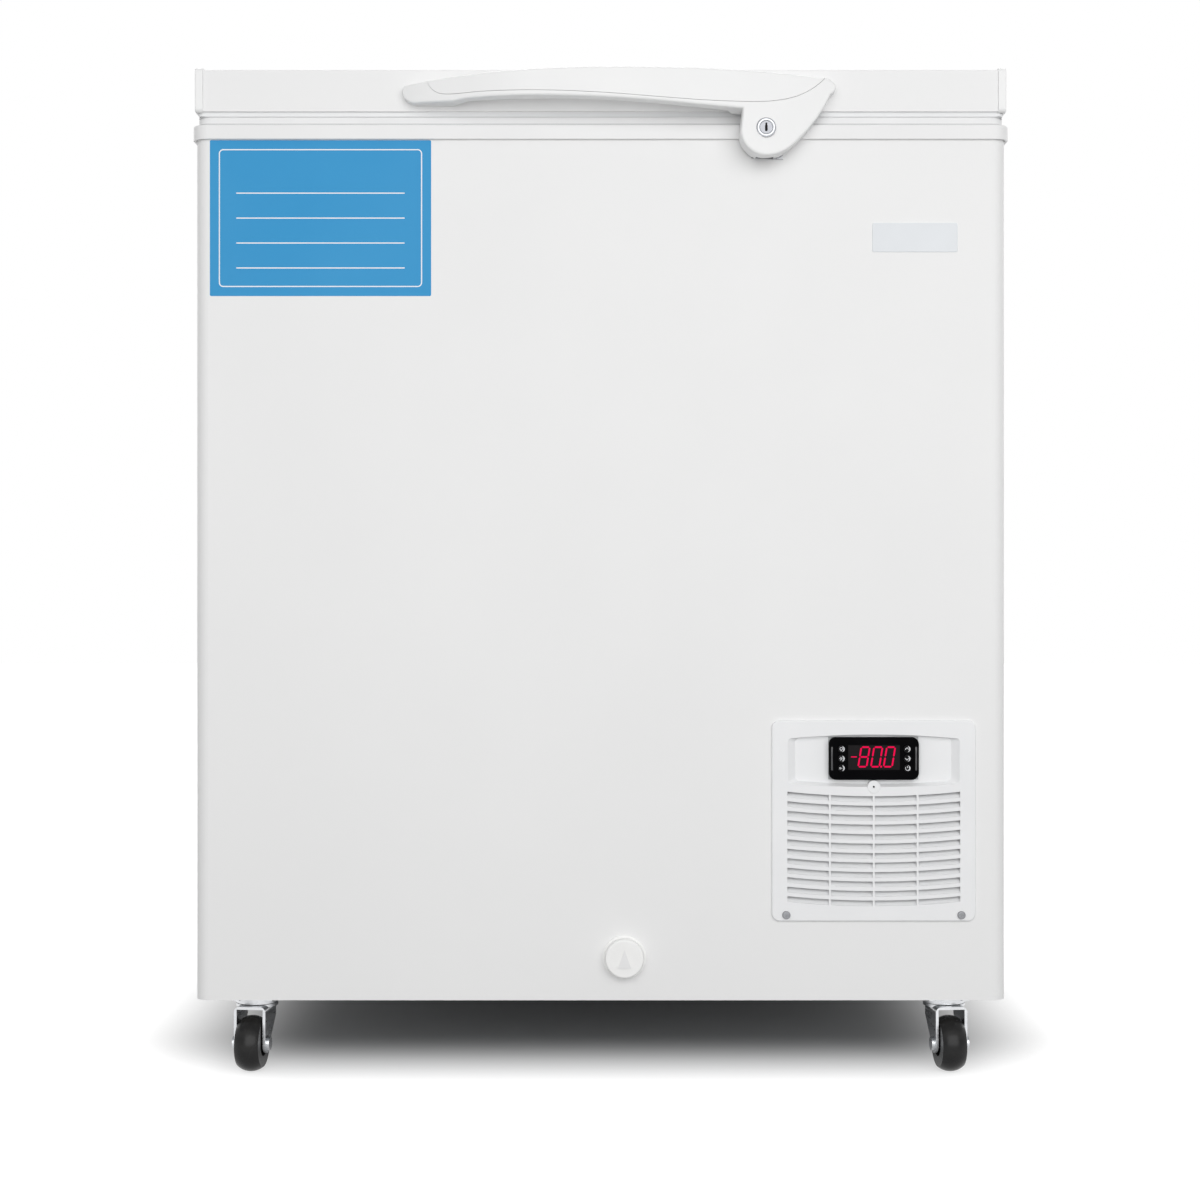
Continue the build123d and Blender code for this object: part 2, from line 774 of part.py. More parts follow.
def lid_plug(shrink, top):
    """Tapered block under the lid that reaches into the storage space."""
    half = liner_half - lid_plug_inset - shrink
    y_low = liner_front_y + lid_plug_inset + shrink
    y_high = liner_back_y - lid_plug_inset - shrink
    outline = Pos(0, (y_low + y_high) / 2, top) * RectangleRounded(2 * half, y_high - y_low, liner_corner_radius)
    depth = lid_plug_depth + top - gasket_top_z - shrink
    return extrude(outline, depth, dir=(0, 0, -1), taper=lid_plug_draft)


def lid_liner():
    """Formed inner panel of the lid: a flange that carries the gasket and a hollow tapered plug."""
    x = half_width - lid_flange_inset
    liner = slab(-x, x, front_y + lid_flange_inset, back_y - lid_flange_inset, gasket_top_z, skirt_bottom_z,
                 lid_edge_radius, lid_edge_radius)
    liner += lid_plug(0, gasket_top_z)
    return liner - lid_plug(lid_plug_wall, skirt_bottom_z)


def gasket_ring(inset, width, low, high):
    """A rectangular ring a given distance in from the cabinet faces."""
    x = half_width - inset
    ring = slab(-x, x, front_y + inset, back_y - inset, low, high, wrap_corner_radius, wrap_corner_radius)
    return ring - slab(-x + width, x - width, front_y + inset + width, back_y - inset - width, low - overrun,
                       high + overrun, wrap_corner_radius / 2, wrap_corner_radius / 2)


def lid_gasket():
    """Soft seal under the lid: a flat root and a rounded bulb that lies on the collar."""
    root = gasket_ring(gasket_root_inset, gasket_width + gasket_inset, gasket_top_z - gasket_root_height,
                       gasket_top_z)
    x = half_width - gasket_inset
    bulb = slab(-x, x, front_y + gasket_inset, back_y - gasket_inset, rim_z, gasket_top_z - gasket_root_height,
                wrap_corner_radius, wrap_corner_radius)
    bulb = fillet(bulb.faces().sort_by(Axis.Z)[0].edges(), gasket_round)
    bulb -= slab(-x + gasket_width, x - gasket_width, front_y + gasket_inset + gasket_width,
                 back_y - gasket_inset - gasket_width, rim_z - overrun, gasket_top_z + overrun,
                 wrap_corner_radius / 2, wrap_corner_radius / 2)
    return root + bulb


# Handle, drawn on the front plane

def handle_points(shares):
    """Outline points on the front plane from shares of the handle's length and height."""
    return [(handle_left + u * handle_length, handle_bottom_z + v * handle_height) for u, v in shares]


def reach_points(shares, drop=0):
    """Plan points from shares of the handle's length and reach."""
    return [(handle_left + u * handle_length, front_y - v * handle_reach + drop) for u, v in shares]


def handle_outline():
    """Front view of the handle: bar on the left and the lock lobe on the right."""
    lobe_left = handle_points(handle_lobe_left_shares)
    under = handle_points(handle_under_shares)
    foot = [Polyline(*handle_points(handle_foot_shares)), Spline(*handle_points(handle_tip_shares))]
    edges = [Spline(*handle_points(handle_top_shares)), Spline(*handle_points(handle_nose_shares)),
             Spline(*handle_points(handle_lobe_right_shares)), Spline(*lobe_left), Line(lobe_left[-1], under[0]),
             Spline(*under), *foot]
    return make_face(Wire([edge for line in edges for edge in line.edges()]))


def reach_solid(drop):
    """Everything behind the bowed front surface, moved back by the drop."""
    points = reach_points(handle_reach_shares, drop)
    bow = Spline(*points)
    depth = front_y + 2 * handle_reach
    back = Polyline(points[-1], (points[-1][0], depth), (points[0][0], depth), points[0])
    plan = make_face(Wire(list(bow.edges()) + list(back.edges())))
    return Pos(0, 0, handle_bottom_z - overrun) * extrude(plan, handle_height + 2 * overrun)


def handle_body():
    """Bowed handle before the cover is parted off."""
    body = extrude(front * handle_outline(), handle_reach + overrun)
    body = body & reach_solid(0)
    bowed = body.faces().sort_by(Axis.Y)[0]
    return fillet(bowed.edges(), handle_edge_round)


def cover_region(grow):
    """Front skin over the upper part of the handle, grown by the groove where asked."""
    under = [(x, z - grow) for x, z in handle_points(cover_under_shares)]
    under[0] = (under[0][0] - grow, under[0][1])
    under[-1] = (under[-1][0] + grow, under[-1][1])
    top = handle_bottom_z + handle_height + overrun
    rest = Polyline(under[-1], (under[-1][0], top), (under[0][0], top), under[0])
    face = make_face(Wire(list(Spline(*under).edges()) + list(rest.edges())))
    region = extrude(front * face, handle_reach + 2 * overrun)
    return region - reach_solid(cover_thickness)


def handle_cover():
    """Inset top piece of the handle."""
    return handle_body() & cover_region(0)


def handle_screw_places():
    """Across, seat and up for the screws under the cover."""
    return [(x, front_y - handle_screw_seat, z) for x, z in handle_points(handle_screw_shares)]


def handle_base():
    """Bow handle with its finger gap, lock lobe and rear pocket."""
    base = handle_body() - cover_region(cover_groove)
    gap = reach_points(finger_gap_shares)
    ends = Polyline(gap[-2], gap[-1], gap[0], gap[1])
    gap_face = make_face(Wire(list(ThreePointArc(*gap[1:-1]).edges()) + list(ends.edges())))
    base -= Pos(0, 0, handle_bottom_z - overrun) * extrude(gap_face, handle_height + 2 * overrun)
    x_low = handle_left - overrun
    x_high = handle_left + handle_length + overrun
    base -= block(x_low, x_high, front_y - lobe_back_gap, front_y + overrun, handle_bottom_z - overrun,
                  skirt_bottom_z)
    base -= rod_y(lock_across, front_y - lock_seat + lobe_front_wall, front_y, lock_z, lobe_pocket_radius)
    base -= block(lock_across - lobe_slot_width / 2, lock_across + lobe_slot_width / 2,
                  front_y - lobe_back_gap - lobe_slot_depth, front_y, handle_bottom_z - overrun, lock_z)
    base -= rod_y(lock_across, front_y - handle_reach, front_y, lock_z, lock_sleeve_radius)
    base -= rod_y(lock_across, front_y - handle_reach, front_y - lock_seat, lock_z, lock_ring_radius + shaft_gap)
    for x, y, z in handle_screw_places():
        base -= rod_y(x, front_y - handle_reach, front_y + overrun, z, screw_radius)
        base -= rod_y(x, front_y - handle_reach, y, z, screw_head_radius + handle_counterbore_gap)
    return base


def screw_at(x, y, z, head_height):
    """A cross-recess pan-head screw driven towards the back, with its head in front of y."""
    screw = rod_y(x, y - head_height, y, z, screw_head_radius)
    screw = fillet(screw.edges().sort_by(Axis.Y)[0], screw_head_round)
    screw += rod_y(x, y, y + screw_length, z, screw_radius)
    half = screw_cross_width / 2
    arm = screw_cross_length / 2
    for wide, tall in ((half, arm), (arm, half)):
        screw -= block(x - wide, x + wide, y - head_height - overrun, y - head_height / 2, z - tall, z + tall)
    return screw


def handle_screws():
    """Screws that hold the handle to the lid skin."""
    return apart([screw_at(x, y, z, screw_head_height) for x, y, z in handle_screw_places()])


def lock_barrel():
    """Bright ring and sleeve pressed into the lobe."""
    seat = front_y - lock_seat
    barrel = rod_y(lock_across, seat - lock_ring_height, seat, lock_z, lock_ring_radius)
    barrel = chamfer(barrel.edges().sort_by(Axis.Y)[0], sheet)
    barrel += rod_y(lock_across, seat, seat + lock_sleeve_length, lock_z, lock_sleeve_radius)
    return barrel - rod_y(lock_across, front_y - handle_reach, front_y, lock_z, lock_plug_radius + shaft_gap)


def lock_plug():
    """Turning core with a keyway and a square tail."""
    face = front_y - lock_seat - lock_ring_height + fit_gap
    cam_front = front_y - cam_setback - cam_thickness
    plug = rod_y(lock_across, face, cam_front, lock_z, lock_plug_radius)
    half = keyway_width / 2
    plug -= block(lock_across - half, lock_across + half, face - overrun, face + keyway_depth,
                  lock_z - keyway_height / 2, lock_z + keyway_height / 2)
    half = cam_square / 2
    return plug + block(lock_across - half, lock_across + half, cam_front, cam_front + cam_thickness,
                        lock_z - half, lock_z + half)


def lock_cam():
    """Arm on the core's tail, with a toe that turns under the strike."""
    cam_back = front_y - cam_setback
    cam_front = cam_back - cam_thickness
    cam = rod_y(lock_across, cam_front, cam_back, lock_z, lock_plug_radius)
    half = cam_arm_width / 2
    cam += block(lock_across, lock_across + cam_reach, cam_front, cam_back, lock_z - half, lock_z + half)
    cam += block(lock_across + cam_reach - cam_toe, lock_across + cam_reach, cam_front, cam_back + cam_toe_depth,
                 lock_z - half, lock_z + half)
    half = cam_square / 2
    return cam - block(lock_across - half, lock_across + half, cam_front - overrun, cam_back + overrun,
                       lock_z - half, lock_z + half)


def strike_plate():
    """Plate on the cabinet front with a tongue for the cam."""
    top = lock_z - strike_below_lock + strike_height
    half = strike_width / 2
    slant = strike_width * sin(radians(strike_tilt))
    low_x, high_x = lock_across + strike_shift - half, lock_across + strike_shift + half
    corners = [(low_x, top), (low_x, top - strike_height + slant), (high_x, top - strike_height), (high_x, top)]
    plate = extrude(front * Polygon(*corners, align=None), strike_thickness)
    tongue = lock_z - strike_hook_below_lock
    half = strike_hook_width / 2
    plate += block(lock_across - half, lock_across + half, front_y - strike_thickness - strike_hook_reach,
                   front_y - strike_thickness, tongue - strike_thickness, tongue)
    for x, z in strike_screw_places():
        plate -= rod_y(x, front_y - strike_width, front_y + overrun, z, screw_radius)
    return plate


# Hinges

def hinge_places():
    """Middle of each hinge across the back."""
    return [side * hinge_span / 2 for side in signs()]


def hinge_leaf(x, moving):
    """One leaf: a plate on the back, an arm and the knuckles, with a rivet hole pair."""
    half = hinge_width / 2
    clear = knuckle_radius + hinge_plate
    low = hinge_z + clear if moving else rim_z - collar_height - hinge_leaf_drop
    high = hinge_z + hinge_leaf_rise if moving else hinge_z - clear
    leaf = block(x - half, x + half, back_y, back_y + hinge_plate, low, high)
    count = 5
    for index in range(count):
        if (index % 2 == 1) != moving:
            continue
        middle = x + (index - (count - 1) / 2) * (knuckle_length + fit_gap)
        near, far = middle - knuckle_length / 2, middle + knuckle_length / 2
        leaf += rod_x(near, far, hinge_y, hinge_z, knuckle_radius)
        arm_low = hinge_z if moving else high - hinge_plate
        arm_high = low + hinge_plate if moving else hinge_z
        leaf += block(near, far, back_y, hinge_y, arm_low, arm_high)
    leaf -= rod_x(x - half, x + half, hinge_y, hinge_z, hinge_pin_radius + (shaft_gap if moving else 0))
    return leaf


def hinge_leaves(moving):
    """Both leaves of one kind with their rivets."""
    pieces = []
    for x in hinge_places():
        leaf = hinge_leaf(x, moving)
        z = (hinge_z + hinge_leaf_rise + hinge_z + knuckle_radius) / 2 if moving else (
            rim_z - collar_height - hinge_leaf_drop / 2)
        for side in signs():
            for end in (signs() if not moving else (0,)):
                at = x + side * hinge_rivet_spread / 2
                height = z + end * hinge_leaf_drop / 4
                leaf += rod_y(at, back_y + hinge_plate, back_y + hinge_plate + hinge_rivet_head, height,
                              hinge_rivet_radius)
        pieces.append(leaf)
    return apart(pieces)


def hinge_pins():
    """Headed pin through each hinge."""
    pins = []
    for x in hinge_places():
        half = (5 * knuckle_length + 4 * fit_gap) / 2
        pin = rod_x(x - half, x + half, hinge_y, hinge_z, hinge_pin_radius)
        for side in signs():
            end = x + side * half
            tip = end + side * hinge_pin_head
            pin += rod_x(min(end, tip), max(end, tip), hinge_y, hinge_z, hinge_pin_radius + hinge_pin_head / 2)
        pins.append(pin)
    return apart(pins)


# Louvre panel, drawn on the front plane round its own middle

def panel_plane(proud):
    """Plane parallel to the front through the middle of the louvre panel."""
    return Plane(origin=(panel_across, front_y - proud, panel_z), x_dir=(1, 0, 0), z_dir=(0, -1, 0))


def panel_block(x_low, x_high, z_low, z_high, proud_low, proud_high):
    """A box on the panel's own axes."""
    return block(panel_across + x_low, panel_across + x_high, front_y - proud_high, front_y - proud_low,
                 panel_z + z_low, panel_z + z_high)


def pocket_outline(end_in, foot_in, top_in):
    """Controller pocket moved in at its ends, foot and top: rounded corners, sagging foot, arched top."""
    half = pocket_width / 2 - end_in
    low = pocket_rise - pocket_end_height / 2 + foot_in
    high = pocket_rise + pocket_end_height / 2 - top_in
    arch = ThreePointArc((half, high), (0, high + pocket_arch), (-half, high))
    foot = ThreePointArc((-half, low), (0, low - pocket_sag), (half, low))
    ends = [Line((-half, high), (-half, low)), Line((half, low), (half, high))]
    edges = list(arch.edges()) + list(foot.edges()) + [edge for end in ends for edge in end.edges()]
    outline = make_face(Wire(edges))
    return fillet(outline.vertices(), pocket_corner)


def row_radius():
    """Radius of the louvre rows from their sag."""
    half = louvre_width / 2
    return (half * half + louvre_sag * louvre_sag) / (2 * louvre_sag)


def row_section(corners):
    """Sweeps a (depth, height) section along the sagging row, height counted from the row's ends."""
    radius = row_radius()
    half_angle = degrees(atan2(louvre_width / 2 + louvre_end_grip, radius - louvre_sag))
    points = [(height - radius - louvre_pitch, depth) for depth, height in corners]
    middle = Plane(origin=(0, 0, 0), x_dir=(0, 0, 1), z_dir=(-1, 0, 0))
    face = middle * Polygon(*points, align=None)
    turned = Rot(0, -half_angle, 0) * face
    swept = revolve(turned, Axis.Y, 2 * half_angle)
    grip = louvre_width / 2 + louvre_end_grip
    swept = Pos(0, 0, radius - louvre_sag + louvre_pitch) * swept
    return swept & block(-grip, grip, -2 * louvre_depth, 2 * louvre_depth, -radius, radius)


def louvre_blade_solid():
    """One curved louvre: an upright lip and a blade that rises to the back."""
    lip = louvre_recess - panel_thickness
    neck = lip + louvre_blade
    back = louvre_depth - panel_thickness
    return row_section([(lip, 0), (lip, louvre_lip), (neck, louvre_lip), (back, louvre_rise + louvre_blade),
                        (back, louvre_rise), (neck, 0)])


def louvre_field():
    """Everything taken out of the panel for the rows."""
    low = louvre_top - louvre_rows * louvre_pitch + louvre_lip
    radius = row_radius()
    half = louvre_width / 2
    top_arc = ThreePointArc((half, louvre_top), (0, louvre_top - louvre_sag), (-half, louvre_top))
    bottom_arc = ThreePointArc((-half, low), (0, low - louvre_sag), (half, low))
    sides = [Line((-half, louvre_top), (-half, low)), Line((half, low), (half, louvre_top))]
    edges = list(top_arc.edges()) + list(bottom_arc.edges()) + [edge for side in sides for edge in side.edges()]
    outline = make_face(Wire(edges))
    return extrude(panel_plane(-louvre_depth) * outline, 2 * louvre_depth)


def control_grille():
    """Moulded panel with the controller pocket and twelve sagging louvre rows in four columns."""
    outline = RectangleRounded(panel_width, panel_height, panel_corner_radius)
    panel = extrude(panel_plane(0) * outline, panel_thickness)
    panel = fillet(panel.faces().sort_by(Axis.Y)[0].edges(), panel_edge_round)
    depth = pocket_floor + panel_wall - panel_thickness
    panel += extrude(panel_plane(0) * pocket_outline(-panel_wall, -panel_wall, -panel_wall), -depth)
    mouth = panel_plane(panel_thickness) * pocket_outline(0, 0, 0)
    floor = pocket_outline(pocket_end_slope, pocket_foot_slope, pocket_top_slope)
    panel -= loft([mouth, panel_plane(panel_thickness - pocket_floor) * floor], ruled=True)
    panel -= louvre_field()
    blade = louvre_blade_solid()
    for row in range(louvre_rows):
        z = louvre_top - (row + 1) * louvre_pitch
        panel += Pos(panel_across, front_y, panel_z + z) * blade
    reach = louvre_width / 2
    low = louvre_top - louvre_rows * louvre_pitch - louvre_sag
    for column in range(1, louvre_columns):
        x = (column - louvre_columns / 2) * reach * 2 / louvre_columns * rib_spread
        rib = panel_block(x - rib_width / 2, x + rib_width / 2, low, louvre_top, louvre_setback(),
                          panel_thickness - louvre_recess)
        panel += rib
    boss = extrude(panel_plane(panel_thickness - pocket_floor) * (Pos(0, boss_rise) * Circle(boss_radius)),
                   pocket_floor + boss_stand)
    panel += fillet(boss.edges().sort_by(Axis.Y)[0], boss_round)
    panel -= extrude(panel_plane(panel_thickness - boss_proud) * (Pos(0, boss_rise) * Circle(boss_hole_radius)),
                     boss_proud + sheet)
    panel -= case_opening(-pocket_floor, 0)
    for x, z in panel_screw_places():
        panel -= rod_y(x, front_y - 2 * panel_thickness, front_y + overrun, z, screw_radius)
    return panel


def louvre_setback():
    """Back edge of the ribs, measured proud of the front plane."""
    return panel_thickness - louvre_depth


def front_screws():
    """Screws of the louvre panel and of the strike plate."""
    screws = [screw_at(x, front_y - panel_thickness, z, screw_head_height) for x, z in panel_screw_places()]
    screws += [screw_at(x, front_y - strike_thickness, z, screw_head_height) for x, z in strike_screw_places()]
    return apart(screws)


# Controller, proud of the pocket floor

def key_places():
    """Across and up, on the panel's axes, for the keys: three on the left and three on the right."""
    names = {-1: ("key_light", "key_defrost", "key_set"), 1: ("key_up", "key_down", "key_power")}
    places = {}
    for side, side_names in names.items():
        for index, name in enumerate(side_names):
            x = side * key_spread / 2 + key_offset
            places[name] = (x, controller_rise + (1 - index) * key_pitch)
    return places


def key_rod(place, proud_low, proud_high, radius):
    """A cylinder on one key's axis."""
    x, z = place
    return rod_y(panel_across + x, front_y - proud_high, front_y - proud_low, panel_z + z, radius)


def controller_bezel():
    """Gloss facia, hollow behind, with the window opening and the key bores."""
    spot = Pos(0, controller_rise)
    outer = RectangleRounded(controller_width, controller_height, bezel_corner)
    inner = RectangleRounded(controller_width - 2 * bezel_wall, controller_height - 2 * bezel_wall,
                             bezel_corner - bezel_wall)
    bezel = extrude(panel_plane(seal_proud) * (spot * outer), bezel_depth)
    bezel = fillet(bezel.faces().sort_by(Axis.Y)[0].edges(), bezel_round)
    bezel -= extrude(panel_plane(seal_proud) * (spot * inner), bezel_depth - bezel_wall)
    bezel -= window_block(0, bezel_proud - bezel_wall - overrun, bezel_proud + overrun)
    for place in key_places().values():
        bezel -= key_rod(place, 0, bezel_proud + overrun, key_radius + shaft_gap)
    return bezel


def case_opening(proud_low, proud_high):
    """Room for the controller's case through the pocket floor and the seal."""
    return panel_block(-case_width / 2 - cutout_gap, case_width / 2 + cutout_gap,
                       controller_rise - case_height / 2 - cutout_gap,
                       controller_rise + case_height / 2 + cutout_gap, proud_low, proud_high)


def controller_seal():
    """Square-cornered seal between the facia and the pocket floor."""
    seal = panel_block(-controller_width / 2, controller_width / 2, controller_rise - controller_height / 2,
                       controller_rise + controller_height / 2, pocket_proud, seal_proud)
    return seal - case_opening(pocket_proud - overrun, seal_proud + overrun)


def window_block(grow, proud_low, proud_high):
    """A box on the window's outline."""
    return panel_block(-window_width / 2 - grow, window_width / 2 + grow,
                       controller_rise + window_rise / 2 - window_height / 2 - grow,
                       controller_rise + window_rise / 2 + window_height / 2 + grow, proud_low, proud_high)


def display_window():
    """Tinted window set into the facia, with a rear ledge."""
    window = window_block(0, bezel_proud - bezel_wall, bezel_proud - window_sink)
    return window + window_block(sheet, bezel_proud - bezel_wall - sheet, bezel_proud - bezel_wall)


def key(name):
    """One push key: a round cap in its bore and a flange behind the facia."""
    place = key_places()[name]
    flange = bezel_proud - bezel_wall
    cap = key_rod(place, flange - key_flange_thickness, bezel_proud + key_proud, key_radius)
    return cap + key_rod(place, flange - key_flange_thickness, flange, key_flange_radius)


def controller_case():
    """Housing that passes through the pocket floor, with two clips and a terminal block."""
    half_x = case_width / 2
    low = controller_rise - case_height / 2
    high = controller_rise + case_height / 2
    case = panel_block(-half_x, half_x, low, high, pocket_proud - case_depth, pocket_proud + sheet)
    clip = pocket_proud - panel_wall - fit_gap
    for side in signs():
        near, far = side * half_x, side * (half_x + clip_width)
        case += panel_block(min(near, far), max(near, far), controller_rise - clip_width, controller_rise + clip_width,
                            clip - clip_length, clip)
    for column in range(terminal_count):
        x = (column - (terminal_count - 1) / 2) * case_width / terminal_count
        case -= panel_block(x - terminal_slot / 2, x + terminal_slot / 2, low + terminal_slot, high - terminal_slot,
                            pocket_proud - case_depth - overrun, pocket_proud - case_depth + terminal_slot)
    return case


# Refrigeration unit in the machine compartment

def condenser_front():
    """Front face of the condenser."""
    return front_y + condenser_setback


def condenser():
    """Finned coil: fin stack, two end plates and through tubes."""
    y_low = condenser_front()
    y_high = y_low + condenser_depth
    x_mid = machine_middle_x
    half = condenser_width / 2
    z_low = pan_top_z + sheet
    coil = []
    for index in range(condenser_fins):
        x = x_mid + (index / (condenser_fins - 1) - 1 / 2) * (condenser_width - condenser_fin)
        coil.append(block(x - condenser_fin / 2, x + condenser_fin / 2, y_low, y_high, z_low,
                          z_low + condenser_height))
    for row in range(condenser_passes):
        z = z_low + (row + 1 / 2) * condenser_height / condenser_passes
        coil.append(rod_x(x_mid - half - condenser_stub, x_mid + half + condenser_stub, (y_low + y_high) / 2, z,
                          condenser_tube_radius))
    return fused(coil)


def fan_centre():
    """Across, shroud face and up for the fan."""
    return machine_middle_x, condenser_front() + condenser_depth, pan_top_z + sheet + condenser_height / 2


def fan_shroud():
    """Plate behind the condenser with the fan ring and four arms to the motor's seat."""
    x, y, z = fan_centre()
    half = condenser_width / 2
    shroud = block(x - half, x + half, y, y + shroud_wall, z - condenser_height / 2, z + condenser_height / 2)
    ring = fan_radius + fan_tip_gap
    shroud += rod_y(x, y, y + shroud_depth, z, ring + shroud_wall)
    shroud -= rod_y(x, y - overrun, y + shroud_depth + overrun, z, ring)
    seat_low = y + shroud_depth - shroud_wall
    seat_high = y + shroud_depth
    arm = motor_strut / 2
    spread = ring + shroud_wall / 2
    shroud += block(x - spread, x + spread, seat_low, seat_high, z - arm, z + arm)
    shroud += block(x - arm, x + arm, seat_low, seat_high, z - spread, z + spread)
    shroud += rod_y(x, seat_low, seat_high, z, motor_radius)
    return shroud - rod_y(x, seat_low - overrun, seat_high + overrun, z, motor_shaft_radius + fit_gap)


def fan_motor():
    """Motor can with its shaft towards the condenser."""
    x, y, z = fan_centre()
    back = y + shroud_depth
    motor = rod_y(x, back, back + motor_depth, z, motor_radius)
    motor = fillet(motor.edges().sort_by(Axis.Y)[-1], motor_strut / 2)
    return motor + rod_y(x, y + 2 * shroud_wall, back, z, motor_shaft_radius)


def fan_blade():
    """Axial fan: hub with a bore for the shaft and pitched blades."""
    x, y, z = fan_centre()
    front_face = y + shroud_wall / 2
    hub = rod_y(x, front_face, front_face + fan_hub_depth, z, fan_hub_radius)
    fan = hub
    span = fan_radius - fan_hub_radius / 2
    for index in range(fan_blades):
        vane = Pos(fan_hub_radius / 2 + span / 2, 0, 0) * Rot(fan_blade_pitch, 0, 0) * Box(
            span, fan_blade_thickness, fan_blade_chord)
        turned = Rot(0, index * full_turn / fan_blades, 0) * vane
        fan += Pos(x, front_face + fan_hub_depth / 2, z) * turned
    ring = rod_y(x, front_face - fan_hub_depth, front_face + 2 * fan_hub_depth, z, fan_radius)
    fan = fan & ring
    fan = fan & block(x - fan_radius, x + fan_radius, front_face, front_face + fan_hub_depth, z - fan_radius,
                      z + fan_radius)
    return fan - rod_y(x, front_face + shroud_wall, front_face + fan_hub_depth + overrun, z,
                       motor_shaft_radius + shaft_gap)


def compressor_centre():
    """Across, back and underside for the compressor."""
    return machine_middle_x, back_y - compressor_setback, pan_top_z + grommet_height


def compressor():
    """Welded shell with a seam band on a pressed foot plate."""
    x, y, z = compressor_centre()
    shell = post(x, y, z + compressor_foot_plate, z + compressor_height, compressor_radius)
    shell = fillet(shell.edges().sort_by(Axis.Z)[-1], compressor_radius / 2)
    seam = z + compressor_height / 2
    shell += post(x, y, seam - compressor_seam, seam + compressor_seam, compressor_radius + compressor_seam / 2)
    half_x = compressor_foot_span / 2 + grommet_radius
    half_y = compressor_foot_depth / 2 + grommet_radius
    shell += slab(x - half_x, x + half_x, y - half_y, y + half_y, z, z + compressor_foot_plate, grommet_radius,
                  grommet_radius)
    for gx, gy in grommet_places():
        shell -= post(gx, gy, z - overrun, z + compressor_foot_plate + overrun, grommet_stud_radius)
    return shell


def grommet_places():
    """Across and back for the four rubber feet of the compressor."""
    return [(machine_middle_x + side * compressor_foot_span / 2,
             back_y - compressor_setback + end * compressor_foot_depth / 2)
            for side in signs() for end in signs()]


def compressor_grommets():
    """Four rubber feet with their studs."""
    pieces = []
    for x, y in grommet_places():
        foot = post(x, y, pan_top_z, pan_top_z + grommet_height, grommet_radius)
        foot += post(x, y, base_z, pan_top_z + grommet_height + compressor_foot_plate, grommet_stud_radius)
        head = pan_top_z + grommet_height + compressor_foot_plate
        foot += post(x, y, head, head + compressor_foot_plate, 2 * grommet_stud_radius)
        pieces.append(foot)
    return apart(pieces)


def compressor_terminal_cover():
    """Box over the compressor's terminals, facing the bulkhead."""
    x, y, z = compressor_centre()
    mid = z + compressor_height * terminal_share
    cover = block(x - compressor_radius - terminal_depth, x - compressor_radius / 2, y - terminal_width / 2,
                  y + terminal_width / 2, mid - terminal_height / 2, mid + terminal_height / 2)
    return cover - post(x, y, z, z + compressor_height, compressor_radius + fit_gap)


terminal_share = 0.28


def drier_place():
    """Across, back, and the two neck ends of the drier."""
    high = machine_top_z - drier_drop
    return (machine_left_x + drier_standoff, condenser_front() + condenser_depth + drier_length,
            high - drier_length - drier_neck, high + drier_neck)


def filter_drier():
    """Copper drier, upright beside the bulkhead."""
    x, y, low, high = drier_place()
    body = post(x, y, low + drier_neck, high - drier_neck, drier_radius)
    body = chamfer(body.edges().filter_by(GeomType.CIRCLE), drier_radius / 2)
    return body + post(x, y, low, high, pipe_radius)


def pipe(points):
    """A round pipe through the corner points with rounded bends."""
    path = FilletPolyline(*points, radius=pipe_bend_radius)
    start = path.edges()[0]
    section = Plane(origin=points[0], z_dir=start.tangent_at(0)) * Circle(pipe_radius)
    return sweep(section, path=path)


def refrigerant_pipes():
    """Discharge, liquid, feed and suction pipes between compressor, condenser, drier and evaporator."""
    cx, cy, cz = compressor_centre()
    coil_y = condenser_front() + condenser_depth / 2
    stub = condenser_width / 2 + condenser_stub
    first = pan_top_z + sheet + condenser_height / condenser_passes / 2
    last = first + condenser_height * (condenser_passes - 1) / condenser_passes
    level = cz + compressor_height * terminal_share
    run_x = machine_middle_x + stub + pipe_side_step
    middle_y = (coil_y + cy) / 2
    discharge = pipe([(machine_middle_x + stub, coil_y, last), (run_x, coil_y, last), (run_x, middle_y, last),
                      (run_x, middle_y, level), (run_x, cy, level), (cx + compressor_radius + fit_gap, cy, level)])
    x, y, low, high = drier_place()
    liquid = pipe([(machine_middle_x - stub, coil_y, first), (x, coil_y, first), (x, y, first), (x, y, low)])
    (feed_x, feed_y), (suction_x, suction_y) = reversed(evaporator_drops())
    end = machine_top_z - sheet
    bend = end - pipe_drop
    feed = pipe([(x, y, high), (x, y, bend), (feed_x, y, bend), (feed_x, feed_y, bend), (feed_x, feed_y, end)])
    behind = cy + compressor_radius + pipe_drop
    suction = pipe([(suction_x, suction_y, end), (suction_x, suction_y, bend), (suction_x, behind, bend),
                    (cx, behind, bend), (cx, behind, level), (cx, cy + compressor_radius + fit_gap, level)])
    return apart([discharge, liquid, feed, suction])


# Casters

def caster_plates():
    """Four mounting plates, each with its raceway disc and kingpin."""
    pieces = []
    for x, y in caster_places().values():
        plate = slab(x - caster_plate_width / 2, x + caster_plate_width / 2, y - caster_plate_length / 2,
                     y + caster_plate_length / 2, base_z - caster_plate_thickness, base_z, caster_plate_round,
                     caster_plate_round)
        race_low = base_z - caster_plate_thickness - race_height
        plate += post(x, y, race_low, base_z - caster_plate_thickness, race_radius)
        for bolt_x, bolt_y in caster_bolt_places():
            if abs(bolt_x - x) < caster_plate_width and abs(bolt_y - y) < caster_plate_length:
                plate -= post(bolt_x, bolt_y, base_z - caster_plate_length, base_z + overrun, caster_bolt_radius)
        head_top = race_low - race_gap - fork_sheet - race_gap
        plate += post(x, y, head_top, race_low, kingpin_radius)
        plate += post(x, y, head_top - kingpin_head, head_top, kingpin_head_radius)
        pieces.append(plate)
    return apart(pieces)


